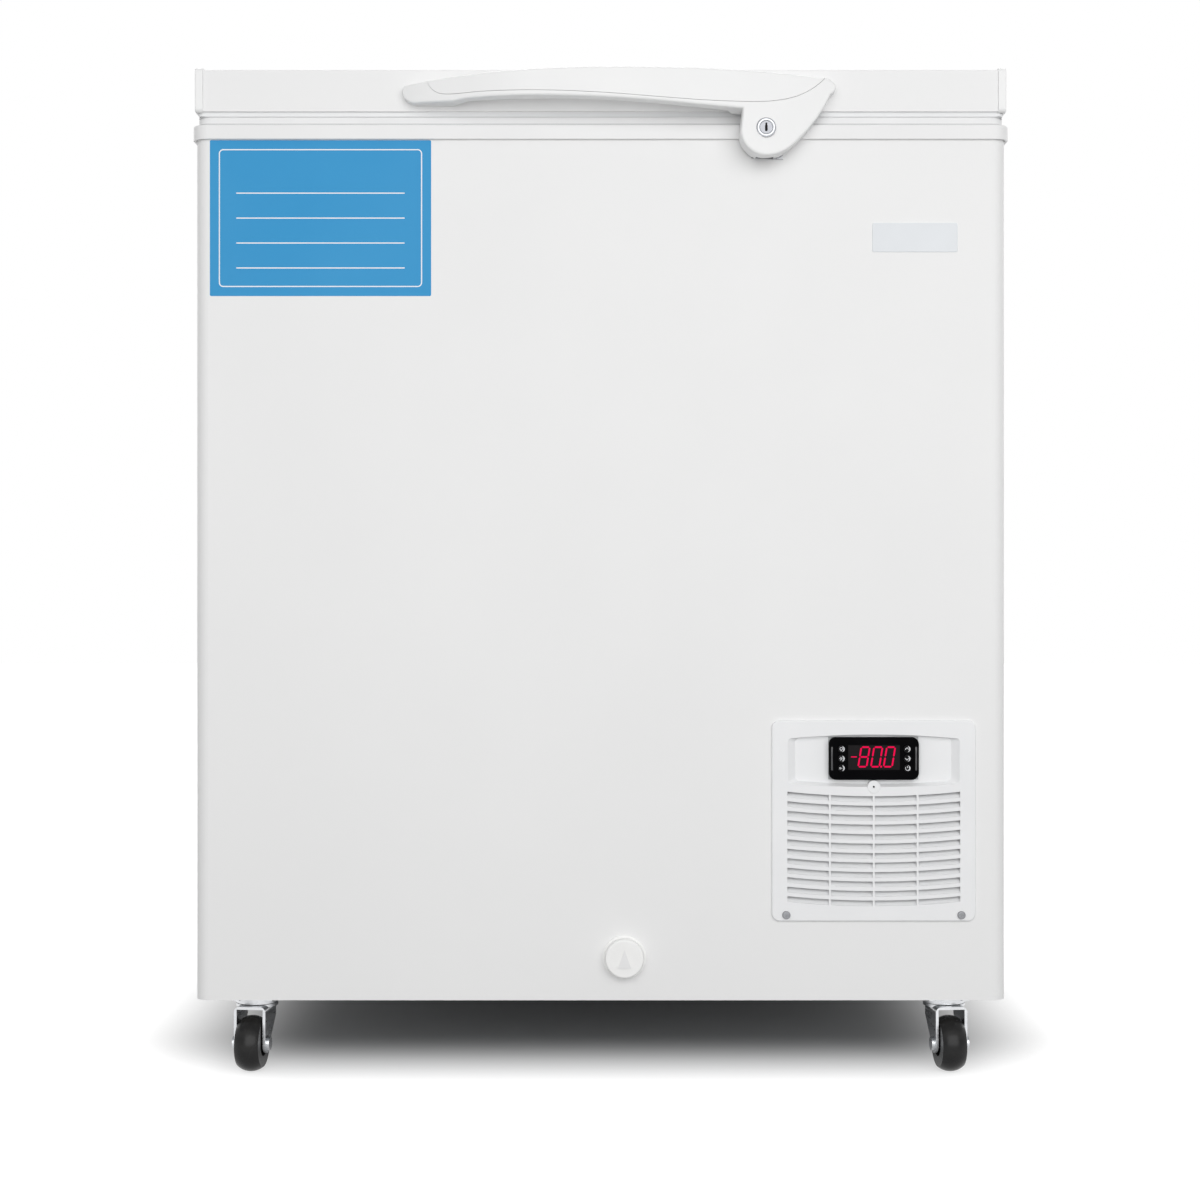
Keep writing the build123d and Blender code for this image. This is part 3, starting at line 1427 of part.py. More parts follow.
def caster_bolts():
    """Hexagon bolts that hold the caster plates to the pan."""
    pieces = []
    for x, y in caster_bolt_places():
        low = base_z - caster_plate_thickness
        bolt = post(x, y, low, pan_top_z + screw_length, caster_bolt_radius)
        head = Pos(x, y, low - caster_bolt_head) * extrude(RegularPolygon(caster_bolt_head_radius, 6),
                                                          caster_bolt_head)
        pieces.append(bolt + head)
    return apart(pieces)


def fork_top_z():
    """Upper face of the swivel fork."""
    return base_z - caster_plate_thickness - race_height - race_gap


def toed_out(caster, x, y):
    """A caster as it stands after the cabinet was pushed back: turned a little outwards on its kingpin."""
    angle = caster_toe if x > 0 else -caster_toe
    return Pos(x, y, 0) * Rot(0, 0, angle) * Pos(-x, -y, 0) * caster


def caster_fork(x, y):
    """Swivel fork folded from sheet, with its riveted axle."""
    top = fork_top_z()
    half = fork_width / 2
    inner = half - fork_sheet
    axle_y = y - wheel_trail
    reach = fork_front_reach
    legs = Pos(x, 0, 0) * block(-half, half, axle_y - reach, y + fork_race_radius, wheel_radius - fork_leg_radius,
                                top)
    legs = fillet(legs.faces().sort_by(Axis.Z)[-1].edges().filter_by(Axis.Y), fork_bend_radius)
    legs -= block(x - inner, x + inner, axle_y - 2 * reach, y + 2 * reach, 0, top - fork_sheet)
    side = Plane(origin=(x, 0, 0), x_dir=(0, 1, 0), z_dir=(1, 0, 0))
    crown = top - fork_crown
    outline = Polygon((y + fork_race_radius * fork_back_share, top), (y + fork_race_radius * fork_back_share, crown),
                      (axle_y + fork_leg_radius, wheel_radius), (axle_y - fork_leg_radius, wheel_radius),
                      (axle_y - fork_leg_radius, top), align=None)
    outline += Pos(axle_y, wheel_radius) * Circle(fork_leg_radius)
    fork = legs & extrude(side * outline, half, both=True)
    fork += post(x, y, top - fork_sheet, top, race_radius)
    fork -= post(x, y, 0, base_z, kingpin_radius + shaft_gap)
    fork -= rod_x(x - half - overrun, x + half + overrun, axle_y, wheel_radius, axle_radius)
    axle = rod_x(x - half, x + half, axle_y, wheel_radius, axle_radius)
    for end in signs():
        near = x + end * half
        far = near + end * axle_head
        axle += rod_x(min(near, far), max(near, far), axle_y, wheel_radius, axle_head_radius)
    return toed_out(apart([fork, axle]), x, y)


def caster_wheel(x, y):
    """Tyre with a rounded tread on a hub with its bore."""
    half = wheel_width / 2
    hub_half = wheel_hub_width / 2
    crown = wheel_radius - tread_crown
    bore = axle_radius + shaft_gap
    tyre_face = Polyline((wheel_hub_radius, -half), (crown, -half))
    tread = ThreePointArc((crown, -half), (wheel_radius, 0), (crown, half))
    rest = Polyline((crown, half), (wheel_hub_radius, half), (wheel_hub_radius, -half))
    edges = list(tyre_face.edges()) + list(tread.edges()) + list(rest.edges())
    tyre = revolve(make_face(Wire(edges)), Axis.Y)
    web = wheel_web / 2
    hub_inner = bore + fork_sheet
    hub_rim = wheel_hub_radius - fork_sheet
    profile = Polygon((bore, -hub_half), (hub_inner, -hub_half), (hub_inner, -web), (hub_rim, -web),
                      (hub_rim, -half), (wheel_hub_radius, -half), (wheel_hub_radius, half), (hub_rim, half),
                      (hub_rim, web), (hub_inner, web), (hub_inner, hub_half), (bore, hub_half), align=None)
    hub = revolve(profile, Axis.Y)
    spot = Pos(x, y - wheel_trail, wheel_radius) * Rot(0, 0, 90)
    return toed_out(apart([spot * tyre, spot * hub]), x, y)


write("outer_wrap", outer_wrap())
write("back_panel", back_panel())
write("bottom_pan", bottom_pan())
write("top_collar", top_collar())
write("inner_liner", inner_liner())
write("cabinet_foam", cabinet_foam())
write("evaporator_tube", evaporator_tube())
write("machine_bulkhead", machine_bulkhead())
write("compressor", compressor())
write("compressor_grommets", compressor_grommets())
write("compressor_terminal_cover", compressor_terminal_cover())
write("condenser", condenser())
write("fan_shroud", fan_shroud())
write("fan_motor", fan_motor())
write("fan_blade", fan_blade())
write("filter_drier", filter_drier())
write("refrigerant_pipes", refrigerant_pipes())
write("power_gland", power_gland())
write("drain_pipe", drain_pipe())
write("drain_stem", drain_stem())
write("drain_dial", drain_dial())
write("control_grille", control_grille())
write("front_screws", front_screws())
write("controller_case", controller_case())
write("controller_seal", controller_seal())
write("controller_bezel", controller_bezel())
write("display_window", display_window())
for key_name in key_places():
    write(key_name, key(key_name))
write("strike_plate", strike_plate())
write("hinge_fixed_leaves", hinge_leaves(False))
write("hinge_moving_leaves", hinge_leaves(True))
write("hinge_pins", hinge_pins())
write("lid_skin", lid_skin())
write("lid_end_caps", lid_end_caps())
write("lid_foam", lid_foam())
write("lid_liner", lid_liner())
write("lid_gasket", lid_gasket())
write("handle_base", handle_base())
write("handle_cover", handle_cover())
write("handle_screws", handle_screws())
write("lock_barrel", lock_barrel())
write("lock_plug", lock_plug())
write("lock_cam", lock_cam())
write("caster_plates", caster_plates())
write("caster_bolts", caster_bolts())
for corner, (swivel_x, swivel_y) in caster_places().items():
    write(f"caster_fork_{corner}", caster_fork(swivel_x, swivel_y))
    write(f"caster_wheel_{corner}", caster_wheel(swivel_x, swivel_y))
print(len(written_nodes), "nodes written")
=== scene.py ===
import math

import bmesh
import bpy
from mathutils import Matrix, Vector


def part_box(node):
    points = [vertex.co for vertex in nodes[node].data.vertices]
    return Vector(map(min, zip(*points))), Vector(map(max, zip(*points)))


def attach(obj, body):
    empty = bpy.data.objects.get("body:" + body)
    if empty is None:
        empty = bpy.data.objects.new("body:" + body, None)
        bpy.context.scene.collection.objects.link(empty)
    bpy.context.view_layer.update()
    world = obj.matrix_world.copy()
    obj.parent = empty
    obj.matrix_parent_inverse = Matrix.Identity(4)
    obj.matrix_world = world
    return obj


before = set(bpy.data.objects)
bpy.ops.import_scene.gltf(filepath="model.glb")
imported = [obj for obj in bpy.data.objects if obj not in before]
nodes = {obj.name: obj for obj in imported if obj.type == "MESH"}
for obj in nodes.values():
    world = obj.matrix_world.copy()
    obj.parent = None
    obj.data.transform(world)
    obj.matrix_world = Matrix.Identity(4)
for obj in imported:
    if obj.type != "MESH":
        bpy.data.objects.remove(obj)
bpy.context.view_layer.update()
print("frame loaded:", len(nodes), "nodes")

mm = 0.001
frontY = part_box("outer_wrap")[0].y  # front plane of the cabinet


# shader node groups

# sockets of the colour Mix node: its share, its two colours and its result
mixShare, mixFirst, mixSecond, mixResult = 0, 6, 7, 2


def newGroup(name, inputs, outputs):
    group = bpy.data.node_groups.new(name, "ShaderNodeTree")
    for socketName, kind, value in inputs:
        socket = group.interface.new_socket(name=socketName, in_out="INPUT", socket_type=kind)
        socket.default_value = value
    for socketName, kind in outputs:
        group.interface.new_socket(name=socketName, in_out="OUTPUT", socket_type=kind)
    entry = group.nodes.new("NodeGroupInput")
    outlet = group.nodes.new("NodeGroupOutput")
    return group, entry, outlet


def addNode(tree, kind, **settings):
    # each setting is a property of the node or the value of one of its inputs
    node = tree.nodes.new(kind)
    for key, value in settings.items():
        if hasattr(node, key):
            setattr(node, key, value)
        else:
            node.inputs[key].default_value = value
    return node


def addMath(tree, operation, first, second):
    # each of the two is another node's output or a plain number
    node = addNode(tree, "ShaderNodeMath", operation=operation)
    for index, value in enumerate((first, second)):
        if isinstance(value, bpy.types.NodeSocket):
            tree.links.new(value, node.inputs[index])
        else:
            node.inputs[index].default_value = value
    return node.outputs["Value"]


def addNoise(tree, vector, settings):
    noise = addNode(tree, "ShaderNodeTexNoise", **settings)
    tree.links.new(vector, noise.inputs["Vector"])
    return noise


def addSpan(tree, value, span):
    # stretches the given span of a value over the whole range of the result
    ramp = tree.nodes.new("ShaderNodeMapRange")
    ramp.inputs["From Min"].default_value, ramp.inputs["From Max"].default_value = span
    tree.links.new(value, ramp.inputs["Value"])
    return ramp


def addGloss(tree, entry, value, span):
    # the value moves the gloss between the two ends that the material gives
    gloss = addSpan(tree, value, span)
    tree.links.new(entry.outputs["Gloss Low"], gloss.inputs["To Min"])
    tree.links.new(entry.outputs["Gloss High"], gloss.inputs["To Max"])
    return gloss.outputs["Result"]


def addMix(tree, share, first, second):
    mix = addNode(tree, "ShaderNodeMix", data_type="RGBA")
    tree.links.new(share, mix.inputs[mixShare])
    tree.links.new(first, mix.inputs[mixFirst])
    tree.links.new(second, mix.inputs[mixSecond])
    return mix.outputs[mixResult]


surfaceOutputs = [("Colour", "NodeSocketColor"), ("Roughness", "NodeSocketFloat"),
                  ("Height", "NodeSocketFloat")]

coatingNoise = {"cloud": {"Detail": 3.0, "Roughness": 0.55}, "cloudSpan": (0.35, 0.7),
                "grain": {"Detail": 2.0},
                "smear": {"Detail": 4.0, "Scale": 9.0}, "smearSpan": (0.3, 0.7)}


def buildCoatingGroup(look):
    # cloudy tone, fine orange peel and uneven gloss of paint and moulded plastic
    group, entry, outlet = newGroup(
        "coatedSurface",
        [("Colour", "NodeSocketColor", (0.8, 0.8, 0.8, 1)),
         ("Shade", "NodeSocketColor", (0.7, 0.7, 0.7, 1)),
         ("Cloud Scale", "NodeSocketFloat", 6.0), ("Grain Scale", "NodeSocketFloat", 600.0),
         ("Gloss Low", "NodeSocketFloat", 0.3), ("Gloss High", "NodeSocketFloat", 0.45)],
        surfaceOutputs)
    link = group.links.new
    place = group.nodes.new("ShaderNodeTexCoord").outputs["Object"]
    cloud = addNoise(group, place, look["cloud"])
    link(entry.outputs["Cloud Scale"], cloud.inputs["Scale"])
    share = addSpan(group, cloud.outputs["Fac"], look["cloudSpan"]).outputs["Result"]
    tone = addMix(group, share, entry.outputs["Colour"], entry.outputs["Shade"])
    link(tone, outlet.inputs["Colour"])
    grain = addNoise(group, place, look["grain"])
    link(entry.outputs["Grain Scale"], grain.inputs["Scale"])
    link(grain.outputs["Fac"], outlet.inputs["Height"])
    smear = addNoise(group, place, look["smear"])
    gloss = addGloss(group, entry, smear.outputs["Fac"], look["smearSpan"])
    link(gloss, outlet.inputs["Roughness"])
    return group


dustNoise = {"upward": (0.3, 1.0), "speckle": {"Detail": 5.0, "Scale": 40.0}}


def buildDustGroup(look):
    # light dust that settles on faces that look up
    group, entry, outlet = newGroup(
        "settledDust",
        [("Colour", "NodeSocketColor", (0.8, 0.8, 0.8, 1)),
         ("Dust", "NodeSocketColor", (0.5, 0.48, 0.45, 1)),
         ("Amount", "NodeSocketFloat", 0.1)],
        [("Colour", "NodeSocketColor")])
    link = group.links.new
    shape = group.nodes.new("ShaderNodeNewGeometry")
    split = group.nodes.new("ShaderNodeSeparateXYZ")
    link(shape.outputs["Normal"], split.inputs["Vector"])
    up = addSpan(group, split.outputs["Z"], look["upward"])
    place = group.nodes.new("ShaderNodeTexCoord").outputs["Object"]
    speckle = addNoise(group, place, look["speckle"])
    mask = addMath(group, "MULTIPLY", up.outputs["Result"], speckle.outputs["Fac"])
    weight = addMath(group, "MULTIPLY", mask, entry.outputs["Amount"])
    tone = addMix(group, weight, entry.outputs["Colour"], entry.outputs["Dust"])
    link(tone, outlet.inputs["Colour"])
    return group


metalNoise = {"lines": {"Detail": 3.0, "Scale": 30.0}, "linesSpan": (0.3, 0.7),
              "blotch": {"Detail": 4.0}}


def buildMetalGroup(look):
    # fine drawn lines and blotchy plating
    group, entry, outlet = newGroup(
        "drawnMetal",
        [("Colour", "NodeSocketColor", (0.6, 0.6, 0.6, 1)),
         ("Shade", "NodeSocketColor", (0.4, 0.4, 0.4, 1)),
         ("Stretch", "NodeSocketVector", (1.0, 1.0, 40.0)),
         ("Blotch Scale", "NodeSocketFloat", 60.0),
         ("Gloss Low", "NodeSocketFloat", 0.2), ("Gloss High", "NodeSocketFloat", 0.4)],
        surfaceOutputs)
    link = group.links.new
    place = group.nodes.new("ShaderNodeTexCoord").outputs["Object"]
    stretched = addNode(group, "ShaderNodeVectorMath", operation="MULTIPLY")
    link(place, stretched.inputs[0])
    link(entry.outputs["Stretch"], stretched.inputs[1])
    lines = addNoise(group, stretched.outputs["Vector"], look["lines"])
    blotch = addNoise(group, place, look["blotch"])
    link(entry.outputs["Blotch Scale"], blotch.inputs["Scale"])
    tone = addMix(group, blotch.outputs["Fac"], entry.outputs["Colour"], entry.outputs["Shade"])
    link(tone, outlet.inputs["Colour"])
    gloss = addGloss(group, entry, lines.outputs["Fac"], look["linesSpan"])
    link(gloss, outlet.inputs["Roughness"])
    link(lines.outputs["Fac"], outlet.inputs["Height"])
    return group


coatedSurface = buildCoatingGroup(coatingNoise)
settledDust = buildDustGroup(dustNoise)
drawnMetal = buildMetalGroup(metalNoise)
print("shader groups built")


# materials

def rgba(colour):
    return (colour[0], colour[1], colour[2], 1.0)


def emptyMaterial(name):
    material = bpy.data.materials.new(name)
    material.use_nodes = True
    tree = material.node_tree
    tree.nodes.clear()
    shader = tree.nodes.new("ShaderNodeBsdfPrincipled")
    output = tree.nodes.new("ShaderNodeOutputMaterial")
    tree.links.new(shader.outputs["BSDF"], output.inputs["Surface"])
    return material, tree, shader


# which socket each value of a finish sets, on the shared group and on the shader
groupSockets = {"cloud": "Cloud Scale", "grain": "Grain Scale", "stretch": "Stretch",
                "blotch": "Blotch Scale"}
shaderSockets = {"specular": "Specular IOR Level", "coat": "Coat Weight", "metallic": "Metallic"}
coatRoughness = 0.12


def surfaceMaterial(name, look, group, bumpDepth):
    # dust, clear coat and bump are there only where the finish names them
    material, tree, shader = emptyMaterial(name)
    surface = addNode(tree, "ShaderNodeGroup", node_tree=group)
    surface.inputs["Colour"].default_value = rgba(look["colour"])
    surface.inputs["Shade"].default_value = rgba(look["shade"])
    surface.inputs["Gloss Low"].default_value = look["gloss"][0]
    surface.inputs["Gloss High"].default_value = look["gloss"][1]
    for node, sockets in ((surface, groupSockets), (shader, shaderSockets)):
        for key, socketName in sockets.items():
            if key in look:
                node.inputs[socketName].default_value = look[key]
    if "coat" in look:
        shader.inputs["Coat Roughness"].default_value = coatRoughness
    colour = surface.outputs["Colour"]
    if "dust" in look:
        dust = addNode(tree, "ShaderNodeGroup", node_tree=settledDust)
        dust.inputs["Amount"].default_value = look["dust"]
        tree.links.new(colour, dust.inputs["Colour"])
        colour = dust.outputs["Colour"]
    tree.links.new(colour, shader.inputs["Base Color"])
    tree.links.new(surface.outputs["Roughness"], shader.inputs["Roughness"])
    if "bump" in look:
        bump = addNode(tree, "ShaderNodeBump", Strength=look["bump"], Distance=bumpDepth * mm)
        tree.links.new(surface.outputs["Height"], bump.inputs["Height"])
        tree.links.new(bump.outputs["Normal"], shader.inputs["Normal"])
    return material


coatings = {
    "cabinetEnamel": dict(
        colour=(0.86, 0.86, 0.858), shade=(0.842, 0.842, 0.841), cloud=2.5, grain=900.0,
        gloss=(0.42, 0.54), specular=0.34, coat=0.0, dust=0.04, bump=0.05),
    "lidEnamel": dict(
        colour=(0.875, 0.875, 0.874), shade=(0.857, 0.857, 0.857), cloud=3.0, grain=900.0,
        gloss=(0.5, 0.62), specular=0.28, coat=0.0, dust=0.1, bump=0.05),
    "collarPlastic": dict(
        colour=(0.84, 0.84, 0.84), shade=(0.822, 0.822, 0.823), cloud=8.0, grain=1400.0,
        gloss=(0.36, 0.5), specular=0.4, coat=0.0, dust=0.06, bump=0.06),
    "handlePlastic": dict(
        colour=(0.87, 0.872, 0.87), shade=(0.852, 0.854, 0.853), cloud=14.0, grain=1500.0,
        gloss=(0.3, 0.4), specular=0.35, coat=0.0, dust=0.04, bump=0.04),
    "grillePlastic": dict(
        colour=(0.86, 0.865, 0.873), shade=(0.838, 0.844, 0.853), cloud=18.0, grain=1800.0,
        gloss=(0.38, 0.5), specular=0.4, coat=0.0, dust=0.06, bump=0.08),
    "knobPlastic": dict(
        colour=(0.925, 0.925, 0.915), shade=(0.9, 0.9, 0.89), cloud=40.0, grain=2200.0,
        gloss=(0.32, 0.45), specular=0.4, coat=0.04, dust=0.05, bump=0.06),
    "linerEnamel": dict(
        colour=(0.8, 0.808, 0.812), shade=(0.765, 0.775, 0.78), cloud=5.0, grain=700.0,
        gloss=(0.3, 0.42), specular=0.45, coat=0.1, dust=0.03, bump=0.05),
    "sealRubber": dict(
        colour=(0.84, 0.842, 0.845), shade=(0.815, 0.818, 0.822), cloud=20.0, grain=1600.0,
        gloss=(0.5, 0.65), specular=0.35, coat=0.0, dust=0.06, bump=0.12),
    # the next two greys are painted shade lines: darker where the gasket's bulb meets the collar,
    # paler under the lid's flange
    "shadeLineGrey": dict(
        colour=(0.6, 0.603, 0.61), shade=(0.55, 0.553, 0.56), cloud=30.0, grain=900.0,
        gloss=(0.55, 0.7), specular=0.2, coat=0.0, dust=0.04, bump=0.1),
    "paleShadeLineGrey": dict(
        colour=(0.76, 0.763, 0.768), shade=(0.72, 0.723, 0.73), cloud=30.0, grain=900.0,
        gloss=(0.55, 0.7), specular=0.2, coat=0.0, dust=0.04, bump=0.1),
    "facePlateRubber": dict(
        colour=(0.5, 0.51, 0.52), shade=(0.4, 0.41, 0.42), cloud=90.0, grain=1200.0,
        gloss=(0.5, 0.65), specular=0.35, coat=0.0, dust=0.06, bump=0.2),
    "blackPlastic": dict(
        colour=(0.02, 0.02, 0.021), shade=(0.032, 0.032, 0.034), cloud=30.0, grain=2400.0,
        gloss=(0.35, 0.5), specular=0.4, coat=0.0, dust=0.04, bump=0.12),
    "blackGloss": dict(
        colour=(0.002, 0.002, 0.0025), shade=(0.0035, 0.0035, 0.004), cloud=30.0, grain=600.0,
        gloss=(0.16, 0.24), specular=0.01, coat=0.0, dust=0.01, bump=0.01),
    "keyGloss": dict(
        colour=(0.005, 0.005, 0.006), shade=(0.009, 0.009, 0.01), cloud=60.0, grain=900.0,
        gloss=(0.24, 0.32), specular=0.05, coat=0.0, dust=0.01, bump=0.02),
    # grey of the facia ribs, lighter than the bezel: partly a painted highlight
    "ribGreySheen": dict(
        colour=(0.03, 0.03, 0.033), shade=(0.045, 0.045, 0.05), cloud=60.0, grain=900.0,
        gloss=(0.2, 0.3), specular=0.5, coat=0.0, dust=0.01, bump=0.02),
    # black of holes: painted shade that stands in for the inside of the keyway and the pin hole
    "holeShadeBlack": dict(
        colour=(0.004, 0.004, 0.004), shade=(0.008, 0.008, 0.008), cloud=90.0, grain=900.0,
        gloss=(0.5, 0.6), specular=0.1, coat=0.0, dust=0.0, bump=0.02),
    "tyreRubber": dict(
        colour=(0.006, 0.006, 0.0065), shade=(0.014, 0.0138, 0.0135), cloud=60.0, grain=1500.0,
        gloss=(0.2, 0.32), specular=0.22, coat=0.0, dust=0.06, bump=0.12),
    "footRubber": dict(
        colour=(0.03, 0.03, 0.03), shade=(0.05, 0.05, 0.05), cloud=50.0, grain=1500.0,
        gloss=(0.6, 0.75), specular=0.3, coat=0.0, dust=0.2, bump=0.2),
    "compressorEnamel": dict(
        colour=(0.012, 0.012, 0.013), shade=(0.02, 0.02, 0.021), cloud=20.0, grain=500.0,
        gloss=(0.25, 0.4), specular=0.45, coat=0.2, dust=0.3, bump=0.1),
    "foamBlock": dict(
        colour=(0.72, 0.62, 0.4), shade=(0.66, 0.55, 0.33), cloud=30.0, grain=400.0,
        gloss=(0.8, 0.9), specular=0.2, coat=0.0, dust=0.0, bump=0.5),
    "tintedWindow": dict(
        colour=(0.008, 0.007, 0.008), shade=(0.014, 0.012, 0.013), gloss=(0.14, 0.2),
        specular=0.05),
}
metals = {
    "zincPlate": dict(
        colour=(0.62, 0.63, 0.64), shade=(0.5, 0.51, 0.53), stretch=(1, 1, 8), blotch=70.0,
        gloss=(0.22, 0.38), metallic=1.0, dust=0.1, bump=0.12),
    "galvanisedSheet": dict(
        colour=(0.5, 0.52, 0.54), shade=(0.36, 0.38, 0.4), stretch=(4, 4, 4), blotch=45.0,
        gloss=(0.35, 0.55), metallic=0.9, dust=0.15, bump=0.1),
    "polishedChrome": dict(
        colour=(0.44, 0.45, 0.47), shade=(0.34, 0.35, 0.37), stretch=(2, 2, 2), blotch=200.0,
        gloss=(0.07, 0.14), metallic=1.0, dust=0.02, bump=0.02),
    "screwZinc": dict(
        colour=(0.26, 0.265, 0.275), shade=(0.17, 0.175, 0.185), stretch=(2, 2, 2), blotch=300.0,
        gloss=(0.26, 0.4), metallic=1.0, dust=0.04, bump=0.1),
    "strikeZinc": dict(
        colour=(0.34, 0.345, 0.355), shade=(0.26, 0.265, 0.275), stretch=(6, 1, 1), blotch=90.0,
        gloss=(0.3, 0.45), metallic=1.0, dust=0.06, bump=0.12),
    "lockSteelDark": dict(
        colour=(0.16, 0.165, 0.175), shade=(0.1, 0.105, 0.11), stretch=(3, 3, 3), blotch=260.0,
        gloss=(0.3, 0.42), metallic=1.0, dust=0.02, bump=0.06),
    "lockSteel": dict(
        colour=(0.26, 0.265, 0.28), shade=(0.17, 0.175, 0.19), stretch=(3, 3, 3), blotch=260.0,
        gloss=(0.2, 0.32), metallic=1.0, dust=0.02, bump=0.06),
    "drawnCopper": dict(
        colour=(0.68, 0.33, 0.2), shade=(0.5, 0.22, 0.13), stretch=(1, 1, 14), blotch=60.0,
        gloss=(0.25, 0.45), metallic=1.0, dust=0.1, bump=0.1),
    "finAluminium": dict(
        colour=(0.6, 0.61, 0.62), shade=(0.45, 0.46, 0.48), stretch=(1, 1, 20), blotch=50.0,
        gloss=(0.3, 0.5), metallic=1.0, dust=0.35, bump=0.1),
}
printed = {"cloud": 12.0, "grain": 1200.0, "specular": 0.15, "bump": 0.04}
prints = {
    "stickerBlue": dict(
        colour=(0.036, 0.305, 0.61), shade=(0.04, 0.315, 0.62), gloss=(0.3, 0.42), **printed),
    "stickerWhite": dict(
        colour=(0.9, 0.91, 0.92), shade=(0.86, 0.88, 0.9), gloss=(0.35, 0.45), **printed),
    "plateSilver": dict(
        colour=(0.8, 0.825, 0.85), shade=(0.76, 0.785, 0.81), gloss=(0.25, 0.4), **printed),
    # white of the printed key signs, also used for the painted highlight crescents on the keys
    "signWhiteAndSheen": dict(
        colour=(0.75, 0.76, 0.78), shade=(0.6, 0.61, 0.63), gloss=(0.4, 0.5), **printed),
}
litFigures = {"colour": (0.93, 0.0, 0.075), "strength": 1.0, "uneven": {"Scale": 400.0},
              "dimmest": 0.9, "unlit": 0.05, "roughness": 0.5, "specular": 0.05}


def glowMaterial(name, look):
    # lit segments with a faint uneven glow
    material, tree, shader = emptyMaterial(name)
    place = tree.nodes.new("ShaderNodeTexCoord")
    uneven = addNoise(tree, place.outputs["Object"], look["uneven"])
    mix = addNode(tree, "ShaderNodeMix", data_type="RGBA")
    mix.inputs[mixFirst].default_value = rgba(look["colour"])
    mix.inputs[mixSecond].default_value = rgba([part * look["dimmest"] for part in look["colour"]])
    tree.links.new(uneven.outputs["Fac"], mix.inputs[mixShare])
    tree.links.new(mix.outputs[mixResult], shader.inputs["Emission Color"])
    unlit = [part * look["unlit"] for part in look["colour"]]
    shader.inputs["Base Color"].default_value = rgba(unlit)
    shader.inputs["Roughness"].default_value = look["roughness"]
    shader.inputs["Specular IOR Level"].default_value = look["specular"]
    shader.inputs["Emission Strength"].default_value = look["strength"]
    return material


finishes = {"litSegment": glowMaterial("litSegment", litFigures)}
# each family of finishes, its shared group and the depth of its bump in millimetres
for looks, group, bumpDepth in ((coatings, coatedSurface, 0.4), (metals, drawnMetal, 0.2),
                                (prints, coatedSurface, 0.3)):
    for name, look in looks.items():
        finishes[name] = surfaceMaterial(name, look, group, bumpDepth)
print("materials made:", len(finishes))

# which finish each CAD piece wears, and how wide its broken edges are in millimetres
dress = {
    "outer_wrap": ("cabinetEnamel", 0), "back_panel": ("cabinetEnamel", 0),
    "bottom_pan": ("galvanisedSheet", 0), "top_collar": ("collarPlastic", 0),
    "inner_liner": ("linerEnamel", 0), "cabinet_foam": ("foamBlock", 0),
    "evaporator_tube": ("drawnCopper", 0), "machine_bulkhead": ("galvanisedSheet", 0),
    "compressor": ("compressorEnamel", 0), "compressor_grommets": ("footRubber", 0),
    "compressor_terminal_cover": ("blackPlastic", 0.8), "condenser": ("finAluminium", 0),
    "fan_shroud": ("galvanisedSheet", 0), "fan_motor": ("galvanisedSheet", 0),
    "fan_blade": ("blackPlastic", 0), "filter_drier": ("drawnCopper", 0),
    "refrigerant_pipes": ("drawnCopper", 0), "power_gland": ("blackPlastic", 0.4),
    "drain_pipe": ("knobPlastic", 0.3), "drain_stem": ("knobPlastic", 0),
    "drain_dial": ("knobPlastic", 0.3), "control_grille": ("grillePlastic", 0),
    "front_screws": ("screwZinc", 0.2), "controller_case": ("blackPlastic", 0),
    "controller_bezel": ("blackGloss", 0), "controller_seal": ("facePlateRubber", 0),
    "display_window": ("tintedWindow", 0), "strike_plate": ("strikeZinc", 0.2),
    "hinge_fixed_leaves": ("zincPlate", 0.3), "hinge_moving_leaves": ("zincPlate", 0.3),
    "hinge_pins": ("zincPlate", 0.3), "lid_skin": ("lidEnamel", 0),
    "lid_end_caps": ("handlePlastic", 0), "lid_foam": ("foamBlock", 0),
    "lid_liner": ("linerEnamel", 0.6), "lid_gasket": ("sealRubber", 0),
    "handle_base": ("handlePlastic", 0), "handle_cover": ("handlePlastic", 0),
    "handle_screws": ("screwZinc", 0), "lock_barrel": ("polishedChrome", 0.2),
    "lock_plug": ("lockSteel", 0.1), "lock_cam": ("zincPlate", 0),
    "caster_plates": ("zincPlate", 0.3), "caster_bolts": ("zincPlate", 0.3),
}
for name in nodes:
    if name.startswith("key_"):
        dress[name] = ("keyGloss", 0.15)
    if name.startswith("caster_fork"):
        dress[name] = ("zincPlate", 0.3)
    if name.startswith("caster_wheel"):
        dress[name] = ("tyreRubber", 0)

brokenEdge = {"segments": 2, "sharperThan": 40}  # degrees between the two faces

for name, cadObject in nodes.items():
    finish, edge = dress[name]
    cadObject.data.materials.clear()
    cadObject.data.materials.append(finishes[finish])
    if edge:
        bevel = cadObject.modifiers.new("brokenEdges", "BEVEL")
        bevel.width = edge * mm
        bevel.segments = brokenEdge["segments"]
        bevel.limit_method = "ANGLE"
        bevel.angle_limit = math.radians(brokenEdge["sharperThan"])
print("CAD pieces dressed")


# thin pieces built in mesh code, in millimetres and degrees unless a note says otherwise

def finishMesh(name, build, finish, body):
    mesh = bpy.data.meshes.new(name)
    build.normal_update()
    build.to_mesh(mesh)
    build.free()
    piece = bpy.data.objects.new(name, mesh)
    bpy.context.scene.collection.objects.link(piece)
    mesh.materials.append(finishes[finish])
    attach(piece, body)
    return piece


def faceMiddle(name):
    # middle of a piece as the front shows it
    low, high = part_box(name)
    return (low.x + high.x) / 2, (low.z + high.z) / 2


